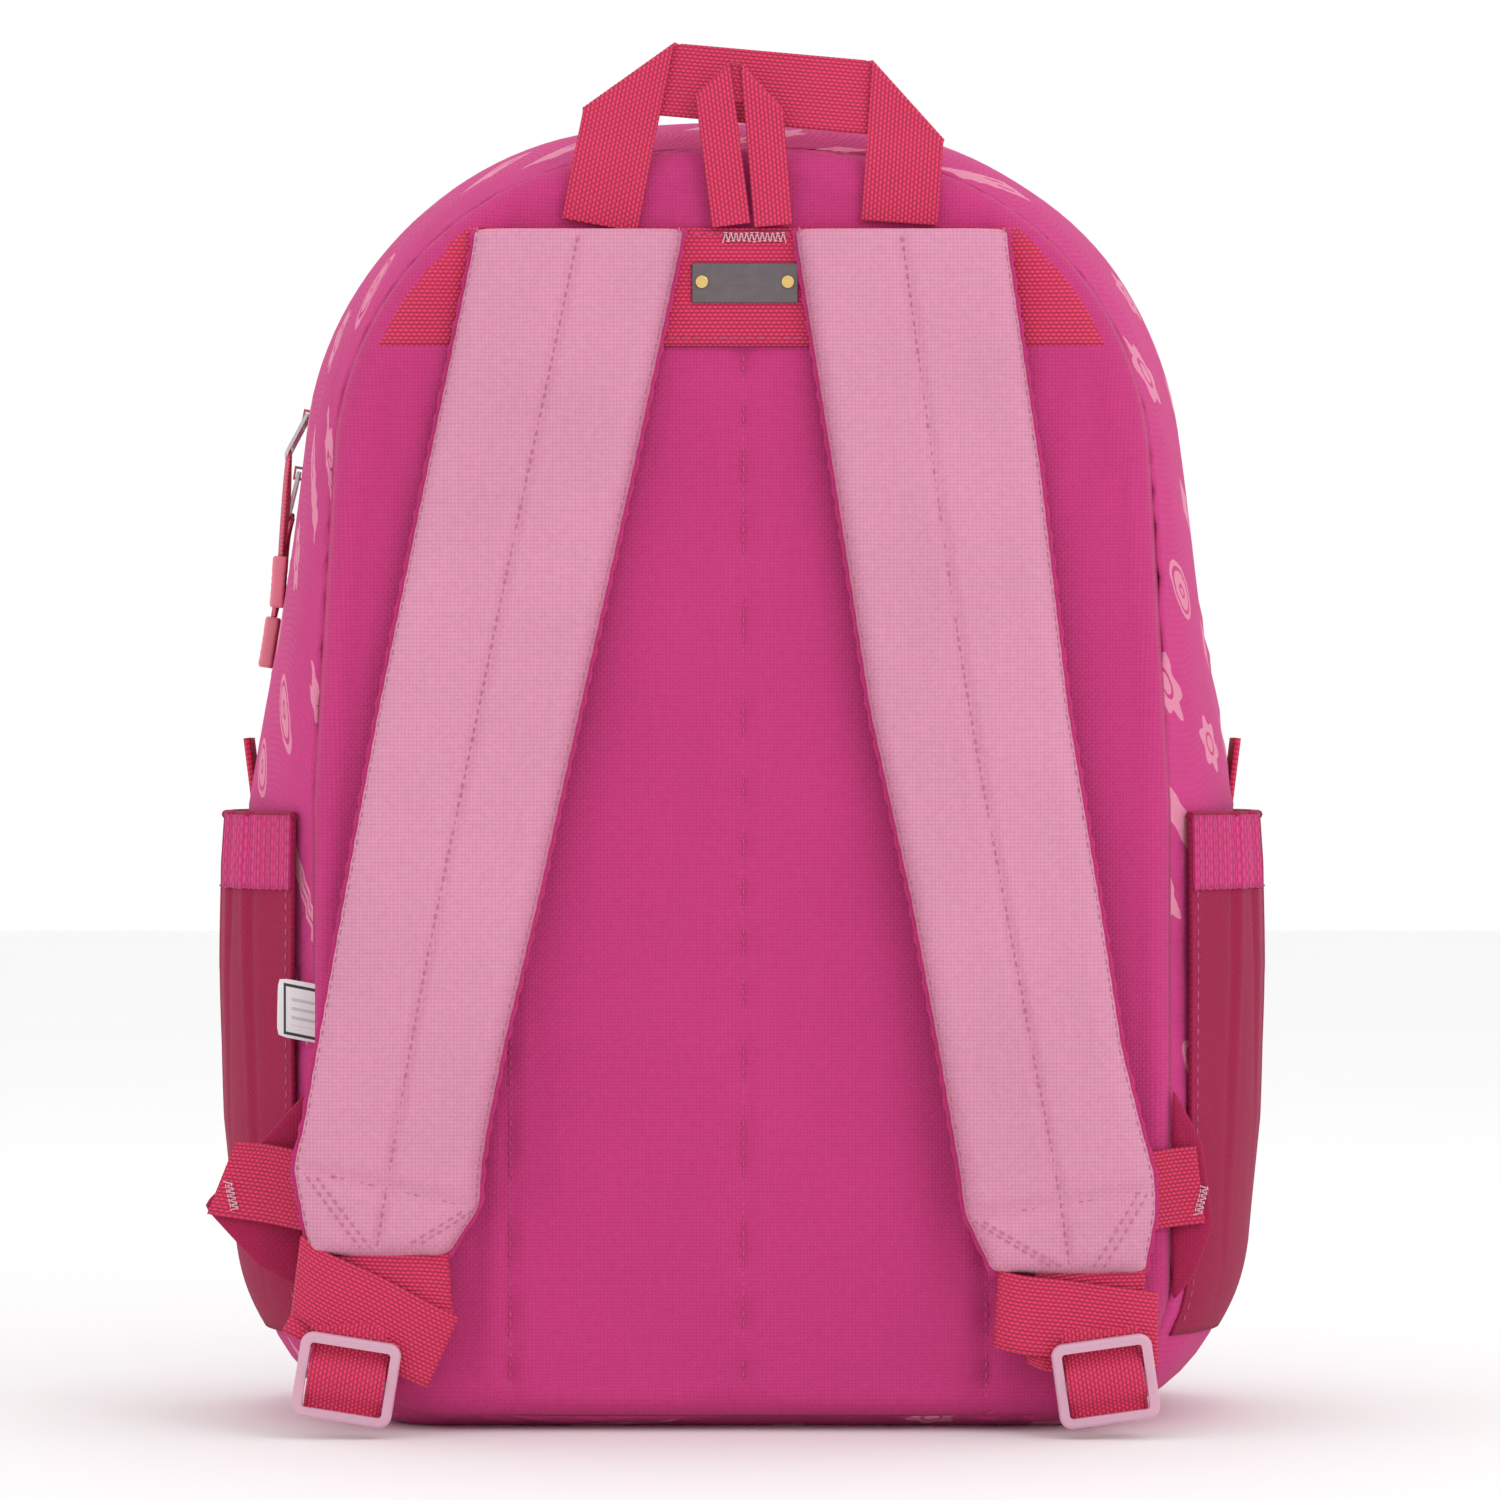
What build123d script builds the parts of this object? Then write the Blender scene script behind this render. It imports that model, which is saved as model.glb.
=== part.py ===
from build123d import *

import os
from math import acos, atan2, cos, degrees, hypot, pi, radians, sin, tan

# School backpack: padded back, gusset, arched two-slider zip, straps, pockets and webbing.
# Millimetres. X runs to the wearer's right, +Y from the wearer's back towards the front pocket and
# +Z up. The origin is the middle of the flat base.

# ---- driving dimensions -------------------------------------------------------------------------
WALL = 1.6  # gusset and front panel: shell fabric with its lining
FABRIC = 1.2  # plain shell fabric
WEB = 1.3  # webbing thickness
WEB_WIDE = 25.0  # webbing width
FIT = 0.3  # room between two pieces that touch
SEW = 0.05  # room between two pieces sewn face to face

BODY_TOP = 424.0
CROWN_RADIUS = 280.0
SHOULDER_RADIUS = 115.0
CROWN_TURN = radians(10)  # from the top to where the shoulder arc begins
FOLD_Z = 200.0  # where the zip ends and the front folds

CROWN_CENTRE = (0.0, BODY_TOP - CROWN_RADIUS)
SHOULDER_X = (CROWN_RADIUS - SHOULDER_RADIUS) * sin(CROWN_TURN)
SHOULDER_Z = CROWN_CENTRE[1] + (CROWN_RADIUS - SHOULDER_RADIUS) * cos(CROWN_TURN)

# Cross-sections from the back seam to the front seam: y, half width, inset of the arch, base, corner.
BACK_SEAM = (-70.0, 136.0, 14.0, 6.0, 44.0)
BACK_BULGE = (-40.0, 154.0, 4.0, 0.0, 52.0)
ZIP_REAR = (8.0, 161.0, 0.0, 0.0, 58.0)
ZIP_FRONT = (32.0, 161.0, 0.0, 0.0, 58.0)
FRONT_BULGE = (58.0, 155.0, 4.0, 0.0, 52.0)
FRONT_SEAM = (75.0, 138.0, 14.0, 6.0, 44.0)
SECTIONS = [BACK_SEAM, BACK_BULGE, ZIP_REAR, ZIP_FRONT, FRONT_BULGE, FRONT_SEAM]

PANEL_FACE = -80.0  # outer face of the padded back
PANEL_EDGE = 9.0  # how far the padding's edge slopes in
FRONT_FACE = 82.0
BOTTOM_HALF = 92.0  # the bottom panel ends where the corners begin

ZIP_MIDDLE = (ZIP_REAR[0] + ZIP_FRONT[0]) / 2
COIL_GAP = 1.2  # between the two halves of the coil, where a slider's post runs
COIL_SIZE = 1.9

BAND_LOW, BAND_HIGH = 347.0, 385.0  # the wide webbing band across the back
STRAP_TOP = (384.0, -81.7)  # z and y of the seam that each strap swings on
STRAP_LEAN = 2.0  # degrees off the back
STRAP_THICK = 10.0

POCKET_LOW, POCKET_HIGH = 30.0, 197.0  # side pockets
POCKET_BULGE = 171.0
HEM = 25.0

FRONT_POCKET_HALF = 112.0
FRONT_POCKET_HIGH = 188.0
FRONT_POCKET_DEEP = 30.0
POCKET_ZIP_Z = 160.0
POCKET_ZIP_HALF = 95.0

# Zip slider and pull.
SLIDER_LONG, SLIDER_WIDE = 12.0, 9.0
PLATE = 1.3
PLATE_OVER, PLATE_UNDER = 0.7, -3.6  # levels of the two plates, from the zip's own surface
PIVOT_OUT = 3.5  # from the zip's surface to the middle of the lug's hole
LUG_HOLE = (2.8, 2.2)
TAB_LONG, TAB_WIDE, TAB_THICK = 17.0, 7.6, 1.1
TAB_END = 13.0  # from the pivot to where the cord is tied
CORD_WIDE, CORD_THICK = 4.0, 2.6
GRIP_LONG, GRIP_WIDE, GRIP_THICK = 17.0, 9.0, 5.0


# ---- shared shapes ------------------------------------------------------------------------------
def facing(y):
    """A plane across the bag at y, with its own x along X and its own y along Z."""
    return Plane.XZ.offset(-y)


def arc(centre, radius, start, end):
    """An arc about a centre, from one angle to another, in radians."""
    at = lambda a: (centre[0] + radius * cos(a), centre[1] + radius * sin(a))
    return ThreePointArc(at(start), at((start + end) / 2), at(end))


def leg_angle(half, radius):
    """The angle on the shoulder arc where the straight leg from the fold line meets it."""
    dx, dz = half - SHOULDER_X, FOLD_Z - SHOULDER_Z
    return atan2(dz, dx) + acos(radius / hypot(dx, dz))


def arch_sketch(section, grow=0.0, y=None, inward=0.0):
    """The closed arch outline of one section, grown outwards, or moved inward from its seam."""
    own_y, half, inset, base, corner = section
    half, base = half + grow - inward, base - grow + inward
    corner = corner + grow - inward
    shoulder = SHOULDER_RADIUS - inset + grow - inward
    crown = CROWN_RADIUS - inset + grow - inward
    leg = leg_angle(half, shoulder)
    joint = pi / 2 - CROWN_TURN
    with BuildSketch(facing(own_y if y is None else y)) as sketch:
        with BuildLine():
            Line((corner - half, base), (half - corner, base))
            for side in (1, -1):
                angles = (lambda a: a) if side == 1 else (lambda a: pi - a)
                toe = (side * (half - corner), base + corner)
                arc(toe, corner, angles(-pi / 2), angles(0.0))
                Line((side * half, base + corner), (side * half, FOLD_Z))
                shoulder_at = (side * SHOULDER_X, SHOULDER_Z)
                foot = (
                    side * (SHOULDER_X + shoulder * cos(leg)),
                    SHOULDER_Z + shoulder * sin(leg),
                )
                Line((side * half, FOLD_Z), foot)
                arc(shoulder_at, shoulder, angles(leg), angles(joint))
            arc(CROWN_CENTRE, crown, joint, pi - joint)
        make_face()
    return sketch.sketch


def add_body(grow=0.0, sections=None, mode=Mode.ADD):
    """The bag's filled outer shape, in ruled spans from section to section."""
    chosen = SECTIONS if sections is None else sections
    faces = [arch_sketch(s, grow) for s in chosen]
    for near, far in zip(faces, faces[1:]):
        loft(sections=[near, far], ruled=True, mode=mode)


def keep_between(low, high):
    """Keeps only the part of the current solid between two corners."""
    size = [b - a for a, b in zip(low, high)]
    middle = [(a + b) / 2 for a, b in zip(low, high)]
    with Locations(tuple(middle)):
        Box(*size, mode=Mode.INTERSECT)


def cut_between(low, high):
    size = [b - a for a, b in zip(low, high)]
    middle = [(a + b) / 2 for a, b in zip(low, high)]
    with Locations(tuple(middle)):
        Box(*size, mode=Mode.SUBTRACT)


def block(low, high, mode=Mode.ADD):
    size = [b - a for a, b in zip(low, high)]
    middle = [(a + b) / 2 for a, b in zip(low, high)]
    with Locations(tuple(middle)):
        return Box(*size, mode=mode)


def save(name, builder):
    """Labels a finished piece and writes it as one STEP file."""
    builder.part.label = name
    export_step(builder.part, f"parts/{name}.step")


# ---- the bag's shell ----------------------------------------------------------------------------
def gussets():
    rear = [BACK_SEAM, BACK_BULGE, ZIP_REAR]
    with BuildPart() as rear_gusset:
        add_body(sections=rear)
        add_body(-WALL, rear, Mode.SUBTRACT)
        cut_between((-BOTTOM_HALF, -200, -10), (BOTTOM_HALF, 200, 30))
    save("rear_gusset", rear_gusset)

    front = [ZIP_REAR, ZIP_FRONT, FRONT_BULGE, FRONT_SEAM]
    with BuildPart() as front_gusset_lower:
        add_body(sections=front)
        add_body(-WALL, front, Mode.SUBTRACT)
        keep_between((-300, 0, -10), (300, 200, FOLD_Z - FIT))
        cut_between((-BOTTOM_HALF, -200, -10), (BOTTOM_HALF, 200, 30))
    save("front_gusset_lower", front_gusset_lower)

    lid = [ZIP_FRONT, FRONT_BULGE, FRONT_SEAM]
    with BuildPart() as front_gusset_upper:
        add_body(sections=lid)
        add_body(-WALL, lid, Mode.SUBTRACT)
        keep_between((-300, 0, FOLD_Z + FIT), (300, 200, 500))
    save("front_gusset_upper", front_gusset_upper)

    with BuildPart() as bottom_panel:
        add_body()
        add_body(-WALL, None, Mode.SUBTRACT)
        keep_between((SEW - BOTTOM_HALF, -200, -10), (BOTTOM_HALF - SEW, 200, 30))
    save("bottom_panel", bottom_panel)

    with BuildPart() as bottom_board:
        block((-88, -37, WALL + SEW), (88, 55, WALL + SEW + 2.5))
        fillet(bottom_board.edges().filter_by(Axis.Z), 12)
    save("bottom_board", bottom_board)


def back_panel():
    edge = BACK_SEAM[0]
    with BuildPart() as cover:
        loft([arch_sketch(BACK_SEAM), arch_sketch(BACK_SEAM, y=PANEL_FACE, inward=PANEL_EDGE)], ruled=True)
        loft(
            [
                arch_sketch(BACK_SEAM, -FABRIC),
                arch_sketch(BACK_SEAM, -FABRIC, y=PANEL_FACE + FABRIC, inward=PANEL_EDGE),
            ],
            ruled=True,
            mode=Mode.SUBTRACT,
        )
    save("back_panel_cover", cover)

    inner = FABRIC + SEW
    with BuildPart() as foam:
        loft(
            [
                arch_sketch(BACK_SEAM, -inner),
                arch_sketch(BACK_SEAM, -inner, y=PANEL_FACE + inner, inward=PANEL_EDGE),
            ],
            ruled=True,
        )
    save("back_foam", foam)

    with BuildPart() as lining:
        extrude(arch_sketch(BACK_SEAM, -WALL - 1.0, y=edge + 0.85), amount=0.8)
    save("back_lining", lining)

    with BuildPart() as sleeve:
        block((-112, -68.6, 12), (112, -64.6, 250))
        fillet(sleeve.edges().filter_by(Axis.Y).group_by(Axis.Z)[0], 20)
    save("inner_sleeve", sleeve)
    with BuildPart() as binding:
        block((-112, -68.9, 250 + SEW), (112, -64.3, 262))
    save("sleeve_binding", binding)


def front_panel():
    with BuildPart() as whole:
        loft([arch_sketch(FRONT_SEAM), arch_sketch(FRONT_SEAM, y=FRONT_FACE, inward=PANEL_EDGE)], ruled=True)
        loft(
            [
                arch_sketch(FRONT_SEAM, -WALL),
                arch_sketch(FRONT_SEAM, -WALL, y=FRONT_FACE - WALL, inward=PANEL_EDGE),
            ],
            ruled=True,
            mode=Mode.SUBTRACT,
        )
    with BuildPart() as lower:
        add(whole.part)
        keep_between((-300, 0, -10), (300, 200, FOLD_Z - FIT))
    save("front_panel_lower", lower)
    with BuildPart() as upper:
        add(whole.part)
        keep_between((-300, 0, FOLD_Z + FIT), (300, 200, 500))
    save("front_panel_upper", upper)


def zip_band(y_low, y_high, outside, inside):
    """A band along the zip's arch, from one depth to another, open below the fold line."""
    with BuildPart() as band:
        extrude(arch_sketch(ZIP_REAR, outside, y=y_high), amount=y_high - y_low)
        extrude(arch_sketch(ZIP_REAR, inside, y=y_high), amount=y_high - y_low, mode=Mode.SUBTRACT)
        keep_between((-300, -300, FOLD_Z + FIT), (300, 300, 500))
    return band


def main_zip():
    rear_edge = ZIP_MIDDLE - COIL_GAP / 2
    front_edge = ZIP_MIDDLE + COIL_GAP / 2
    tape_out, tape_in = -0.4, -1.2
    coil_out = 0.3
    save(
        "zip_tape_rear",
        zip_band(ZIP_REAR[0] + SEW, rear_edge - COIL_SIZE - SEW, tape_out, tape_in),
    )
    save(
        "zip_tape_front",
        zip_band(front_edge + COIL_SIZE + SEW, ZIP_FRONT[0] - SEW, tape_out, tape_in),
    )
    save(
        "zip_coil_rear",
        zip_band(rear_edge - COIL_SIZE, rear_edge, coil_out, coil_out - COIL_SIZE),
    )
    save(
        "zip_coil_front",
        zip_band(front_edge, front_edge + COIL_SIZE, coil_out, coil_out - COIL_SIZE),
    )


# ---- sliders and pulls --------------------------------------------------------------------------
def slider_solid(plane, hole_across=True):
    """A zip slider on a plane: its own x along the travel, y across the zip, z outwards."""
    face = PLATE_OVER + PLATE
    lug_long, lug_wide, lug_high = 4.6, 2.0, 3.2
    with BuildPart() as slider:
        for level in (PLATE_OVER, PLATE_UNDER):
            with BuildSketch(plane.offset(level)):
                RectangleRounded(SLIDER_LONG, SLIDER_WIDE, 2.4)
            extrude(amount=PLATE)
        with BuildSketch(plane.offset(PLATE_UNDER)):
            with Locations((SLIDER_LONG / 2 - 1.6, 0)):
                RectangleRounded(2.4, COIL_GAP - 0.5, 0.2)
        extrude(amount=PLATE_OVER - PLATE_UNDER)
        with BuildSketch(plane.offset(face)):
            Rectangle(*((lug_long, lug_wide) if hole_across else (lug_wide, lug_long)))
        extrude(amount=lug_high)
        hole = plane.offset(PIVOT_OUT)
        along = plane.x_dir if hole_across else plane.y_dir
        axis = plane.y_dir if hole_across else plane.x_dir
        with BuildSketch(Plane(origin=hole.origin, x_dir=along, z_dir=axis)):
            Rectangle(*LUG_HOLE)
        extrude(amount=lug_wide, both=True, mode=Mode.SUBTRACT)
    return slider


def pull_pieces(pivot, down, out, slope, tilt=0.0, bend=((0, 0), (36, 0)), lean=0.0):
    """Tab, cord and grip of one pull. down and out are the directions that it hangs and stands in.

    slope lifts the tab off the surface, tilt turns it sideways, bend is the cord's run, and lean
    turns the cord and the grip back towards the surface. All three angles are in degrees.
    """
    down, out = Vector(*down), Vector(*out)
    aside = out.cross(down)
    slope, tilt, lean = radians(slope), radians(tilt), radians(lean)
    turned = down * cos(tilt) + aside * sin(tilt)
    along = turned * cos(slope) + out * sin(slope)
    flat = Plane(origin=pivot, x_dir=along, z_dir=out * cos(slope) - turned * sin(slope))
    with BuildPart() as tab:
        with BuildSketch(flat.offset(-TAB_THICK / 2)):
            with Locations((TAB_LONG / 2 - 0.6, 0)):
                RectangleRounded(TAB_LONG, TAB_WIDE, 1.6)
            with Locations((2.6, 0)):
                RectangleRounded(4.0, 4.6, 0.5, mode=Mode.SUBTRACT)
            with Locations((TAB_END, 0)):
                RectangleRounded(2.8, 4.4, 0.6, mode=Mode.SUBTRACT)
        extrude(amount=TAB_THICK)
    tied = Vector(*pivot) + along * TAB_END
    hanging = Plane(
        origin=tied,
        x_dir=down * cos(lean) - out * sin(lean),
        z_dir=out * cos(lean) + down * sin(lean),
    )
    sideways = 1 if hanging.y_dir.dot(aside) > 0 else -1
    run = [(x, sideways * y) for x, y in bend]
    with BuildPart() as cord:
        with BuildSketch(hanging.offset(-CORD_THICK / 2)):
            with BuildLine():
                Polyline((TAB_LONG - TAB_END, run[0][1] + (run[1][1] - run[0][1]) * 0.3), *run[1:])
            trace(line_width=CORD_WIDE)
        extrude(amount=CORD_THICK)
    end = run[-1]
    with BuildPart() as grip:
        with BuildSketch(hanging.offset(-GRIP_THICK / 2)):
            with Locations((end[0] + SEW + GRIP_LONG / 2, end[1])):
                RectangleRounded(GRIP_LONG, GRIP_WIDE, 1.6)
        extrude(amount=GRIP_THICK)
        chamfer(grip.edges().filter_by(GeomType.LINE, reverse=True).group_by(SortBy.LENGTH)[-1], 0.5)
    return tab, cord, grip


def zip_leg_point(down, out):
    """A point down the left leg from where it meets the shoulder arc, out from the zip's outline."""
    leg = leg_angle(ZIP_REAR[1], SHOULDER_RADIUS)
    foot_x = SHOULDER_X + SHOULDER_RADIUS * cos(leg)
    foot_z = SHOULDER_Z + SHOULDER_RADIUS * sin(leg)
    x = foot_x + down * sin(leg) + out * cos(leg)
    z = foot_z - down * cos(leg) + out * sin(leg)
    return (-x, ZIP_MIDDLE, z)


def main_sliders():
    leg = leg_angle(ZIP_REAR[1], SHOULDER_RADIUS)
    down_leg = (-sin(leg), 0, -cos(leg))
    off_leg = (-cos(leg), 0, sin(leg))
    lower = Plane(origin=zip_leg_point(14.0, 0), x_dir=down_leg, z_dir=off_leg)
    save("lower_slider", slider_solid(lower))
    turn = leg + radians(2.5)
    upper_at = (
        -SHOULDER_X - SHOULDER_RADIUS * cos(turn),
        ZIP_MIDDLE,
        SHOULDER_Z + SHOULDER_RADIUS * sin(turn),
    )
    upper = Plane(
        origin=upper_at,
        x_dir=(sin(turn), 0, cos(turn)),
        z_dir=(-cos(turn), 0, sin(turn)),
    )
    save("upper_slider", slider_solid(upper))
    planes = {"lower": lower, "upper": upper}
    pivots = {name: tuple(plane.offset(PIVOT_OUT).origin) for name, plane in planes.items()}
    pulls = {
        "lower": pull_pieces(pivots["lower"], down_leg, off_leg, slope=5),
        "upper": pull_pieces(
            pivots["upper"], down_leg, off_leg, slope=17, tilt=20, bend=((0, 0), (8, 6.0), (36, 6.0)), lean=4
        ),
    }
    for name, pieces in pulls.items():
        for what, piece in zip(("tab", "cord", "grip"), pieces):
            save(f"{name}_pull_{what}", piece)
    return pivots


# ---- webbing on the back ------------------------------------------------------------------------
def back_webbing():
    plate_low, plate_high = (-16.0, 360.6), (18.0, 373.4)
    rivets = [(-12.8, 367.3), (14.7, 367.3)]
    band_face = PANEL_FACE - SEW - WEB
    with BuildPart() as band:
        extrude(arch_sketch(BACK_SEAM, y=PANEL_FACE - SEW, inward=PANEL_EDGE + 0.4), amount=WEB)
        keep_between((-300, -300, BAND_LOW), (300, 300, BAND_HIGH))
        with BuildSketch(facing(PANEL_FACE)):
            with Locations(*rivets):
                Circle(1.05)
        extrude(amount=5, mode=Mode.SUBTRACT)
    save("webbing_band", band)

    plate_thick = 1.0
    plate_back = band_face - SEW
    with BuildPart() as plate:
        middle = [(a + b) / 2 for a, b in zip(plate_low, plate_high)]
        size = [b - a for a, b in zip(plate_low, plate_high)]
        with BuildSketch(facing(plate_back)):
            with Locations(tuple(middle)):
                RectangleRounded(*size, 0.6)
            with Locations(*rivets):
                Circle(1.05, mode=Mode.SUBTRACT)
        extrude(amount=plate_thick)
        chamfer(plate.faces().sort_by(Axis.Y)[0].outer_wire().edges(), 0.25)
    save("name_plate", plate)

    head_back = plate_back - plate_thick - SEW
    with BuildPart() as rivet_pair:
        with BuildSketch(facing(head_back)):
            with Locations(*rivets):
                Circle(2.1)
        extrude(amount=0.7)
        fillet(rivet_pair.faces().sort_by(Axis.Y)[0:2].edges(), 0.4)
        with BuildSketch(facing(PANEL_FACE - SEW)):
            with Locations(*rivets):
                Circle(0.95)
        extrude(amount=-(head_back - PANEL_FACE + SEW) + 0.1)
    save("plate_rivets", rivet_pair)


def haul_handle():
    """Flat webbing handle: two upright legs on the back, then a bar that leans over the bag."""
    left, right = -43.5, 50.5  # middles of the legs
    base_z, bend_z, bar_z, top_z = BAND_HIGH + FIT, 402.0, 413.0, 439.0
    lean = radians(14)
    y = PANEL_FACE - SEW - WEB
    half = WEB_WIDE / 2
    leaning = Plane(origin=(0, y, bend_z), x_dir=(1, 0, 0), z_dir=(0, -cos(lean), sin(lean)))
    bar, top, start = bar_z - bend_z, top_z - bend_z, -0.1
    with BuildPart() as handle:
        with BuildSketch(facing(y)):
            for middle in (left, right):
                with Locations((middle, (base_z + bend_z) / 2)):
                    Rectangle(WEB_WIDE, bend_z - base_z)
        extrude(amount=WEB)
        with BuildSketch(leaning):
            with BuildLine():
                Polyline(
                    (left - half, start),
                    (left + half, start),
                    (left + half, bar),
                    (right - half, bar),
                    (right - half, start),
                    (right + half, start),
                    (right + half, bar),
                    (right, top),
                    (left, top),
                    (left - half, bar),
                    close=True,
                )
            make_face()
        extrude(amount=WEB)
    save("haul_handle", handle)


def hang_loop():
    """Narrow webbing loop in front of the handle, with an opening between its two legs."""
    middle, narrow = 3.0, 12.5
    base_z, wide_z, top_z = BAND_HIGH + FIT, 424.0, 435.0
    with BuildPart() as loop:
        with BuildSketch(facing(PANEL_FACE - SEW - WEB)):
            with BuildLine():
                Polyline(
                    (middle - narrow - 0.4, base_z),
                    (middle + narrow + 0.4, base_z),
                    (middle + 14.6, wide_z),
                    (middle + 6.0, top_z),
                    (middle - 8.0, top_z),
                    (middle - 17.0, wide_z),
                    close=True,
                )
            make_face()
            with BuildLine(mode=Mode.PRIVATE) as eye:
                Polyline(
                    (middle, base_z + 8),
                    (middle + 3.4, wide_z - 10),
                    (middle + 3.4, wide_z + 3),
                    (middle - 4.6, wide_z + 3),
                    (middle - 4.6, wide_z - 10),
                    close=True,
                )
            make_face(eye.edges(), mode=Mode.SUBTRACT)
        extrude(amount=WEB)
    save("hang_loop", loop)


# ---- straps -------------------------------------------------------------------------------------
def strap_plane():
    z, y = STRAP_TOP
    lean = radians(STRAP_LEAN)
    return Plane(origin=(0, y, z), x_dir=(1, 0, 0), z_dir=(0, -cos(lean), sin(lean)))


# Centre line of each strap from its top to where it tapers: x, how far down, and half width. Then
# how long the tapered tip is.
STRAPS = {
    "left": {"x": (-51.5, -83.5, -110.5), "down": (0, 153, 305), "half": (33, 32, 30.5), "tip": 20},
    "right": {"x": (50.5, 72.3, 98.0), "down": (0, 153, 307), "half": (33.5, 31.5, 31.5), "tip": 26},
}
TIP_HALF = 20.0


def strap_sketch(side, level, inset=0.0):
    """A strap's outline: two long curved edges and a tapered tip."""
    shape = STRAPS[side]
    with BuildSketch(strap_plane().offset(level)) as sketch:
        with BuildLine():
            edges = []
            for hand in (-1, 1):
                points = [
                    (x + hand * half, -down)
                    for x, down, half in zip(shape["x"], shape["down"], shape["half"])
                ]
                ThreePointArc(*points)
                edges.append(points)
            x, down = shape["x"][2], shape["down"][2]
            lean = (shape["x"][2] - shape["x"][1]) / (shape["down"][2] - shape["down"][1])
            tip_x, tip_down = x + lean * shape["tip"], down + shape["tip"]
            Polyline(
                edges[0][2],
                (tip_x - TIP_HALF, -tip_down),
                (tip_x + TIP_HALF, -tip_down),
                edges[1][2],
            )
            Line(edges[0][0], edges[1][0])
        make_face()
        if inset:
            offset(amount=-inset, kind=Kind.INTERSECTION, mode=Mode.REPLACE)
    return sketch.sketch


def strap_pad(side):
    skin = 1.0
    with BuildPart() as cover:
        extrude(strap_sketch(side, 0), amount=STRAP_THICK)
        extrude(strap_sketch(side, 0, skin), amount=STRAP_THICK - skin, mode=Mode.SUBTRACT)
    save(f"{side}_strap_cover", cover)
    inner = skin + SEW
    with BuildPart() as foam:
        extrude(strap_sketch(side, skin, inner), amount=STRAP_THICK - 2 * skin - SEW)
    save(f"{side}_strap_foam", foam)
    with BuildPart() as lining:
        extrude(strap_sketch(side, 0, inner), amount=skin - SEW)
    save(f"{side}_strap_lining", lining)


# The folded spare webbing under each strap's tip, as x and z points round its outline.
BUNDLES = {
    "left": [(-141, 57), (-89, 57), (-91, 36), (-104, 18), (-112, 15), (-143, 30), (-143, 40)],
    "right": [(82, 49), (138, 49), (139, 23), (125, 17), (94, 22), (86, 36)],
}
BUNDLE_THICK = 4.4
BUNDLE_SETBACK = 4.0  # from the pad's face to the bundle's

# Adjuster of each strap: middle x, middle z and turn in degrees.
ADJUSTERS = {"left": (-125.0, 19.0, -9.0), "right": (115.0, 18.5, 8.0)}
FRAME_WIDE, FRAME_HIGH, FRAME_THICK = 32.0, 27.0, 3.6
RIM = 3.2
BAR_DEEP = 1.8
BEHIND = 2.0  # room behind the frame for the webbing that holds it


def strap_back(z):
    """The y of a strap's underside at height z."""
    return STRAP_TOP[1] - (STRAP_TOP[0] - z) * tan(radians(STRAP_LEAN))


def strap_end(side):
    """Bundle, adjuster and tail. They stand upright under the pad's tip."""
    front = strap_back(50.0) - STRAP_THICK + BUNDLE_SETBACK
    with BuildPart() as bundle:
        with BuildSketch(facing(front + BUNDLE_THICK)):
            with BuildLine():
                Polyline(*BUNDLES[side], close=True)
            make_face()
        extrude(amount=BUNDLE_THICK)
    save(f"{side}_strap_webbing", bundle)

    x, z, turn = ADJUSTERS[side]
    back = front - BEHIND
    angle = radians(turn)
    plane = Plane(origin=(x, back, z), x_dir=(cos(angle), 0, sin(angle)), z_dir=(0, -1, 0))
    slot_wide = FRAME_WIDE - 2 * RIM
    with BuildPart() as adjuster:
        with BuildSketch(plane):
            RectangleRounded(FRAME_WIDE, FRAME_HIGH, 4.0)
            RectangleRounded(slot_wide, FRAME_HIGH - 2 * RIM, 1.2, mode=Mode.SUBTRACT)
        extrude(amount=FRAME_THICK)
        fillet(adjuster.faces().sort_by(Axis.Y)[0].outer_wire().edges(), 1.2)
        with BuildSketch(plane):
            Rectangle(slot_wide + 1, 2.6)
        extrude(amount=BAR_DEEP)
    save(f"{side}_adjuster", adjuster)

    # Seen from the side, x runs up the frame and y runs out of the bag: behind the top rim, through
    # the upper slot, over the bar and down to the lower rim.
    profile = Plane(origin=plane.origin, x_dir=plane.y_dir, z_dir=-plane.x_dir)
    outwards = 1 if profile.y_dir.dot(plane.z_dir) > 0 else -1
    over = BAR_DEEP + 0.15
    inner_top = FRAME_HIGH / 2 - RIM
    run = [
        (FRAME_HIGH / 2 - 0.2, -0.2),
        (inner_top - 0.7, -0.2),
        (1.8, over + WEB),
        (-inner_top + 0.5, over + WEB),
        (-inner_top + 0.5, over),
        (1.4, over),
        (inner_top - 1.7, -0.2 - WEB),
        (FRAME_HIGH / 2 - 0.2, -0.2 - WEB),
    ]
    with BuildPart() as tail:
        with BuildSketch(profile.offset(-WEB_WIDE / 2)):
            with BuildLine():
                Polyline(*[(x, outwards * y) for x, y in run], close=True)
            make_face()
        extrude(amount=WEB_WIDE)
    save(f"{side}_adjuster_tail", tail)
    top = FRAME_HIGH / 2
    return (x - top * sin(angle), back, z + top * cos(angle)), (-cos(angle), 0, -sin(angle))


# Fabric tab at each lower corner and the webbing sewn to it: how far the tab's tip stands out.
TAB_REACH = {"left": 173.5, "right": 150.0}


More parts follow.
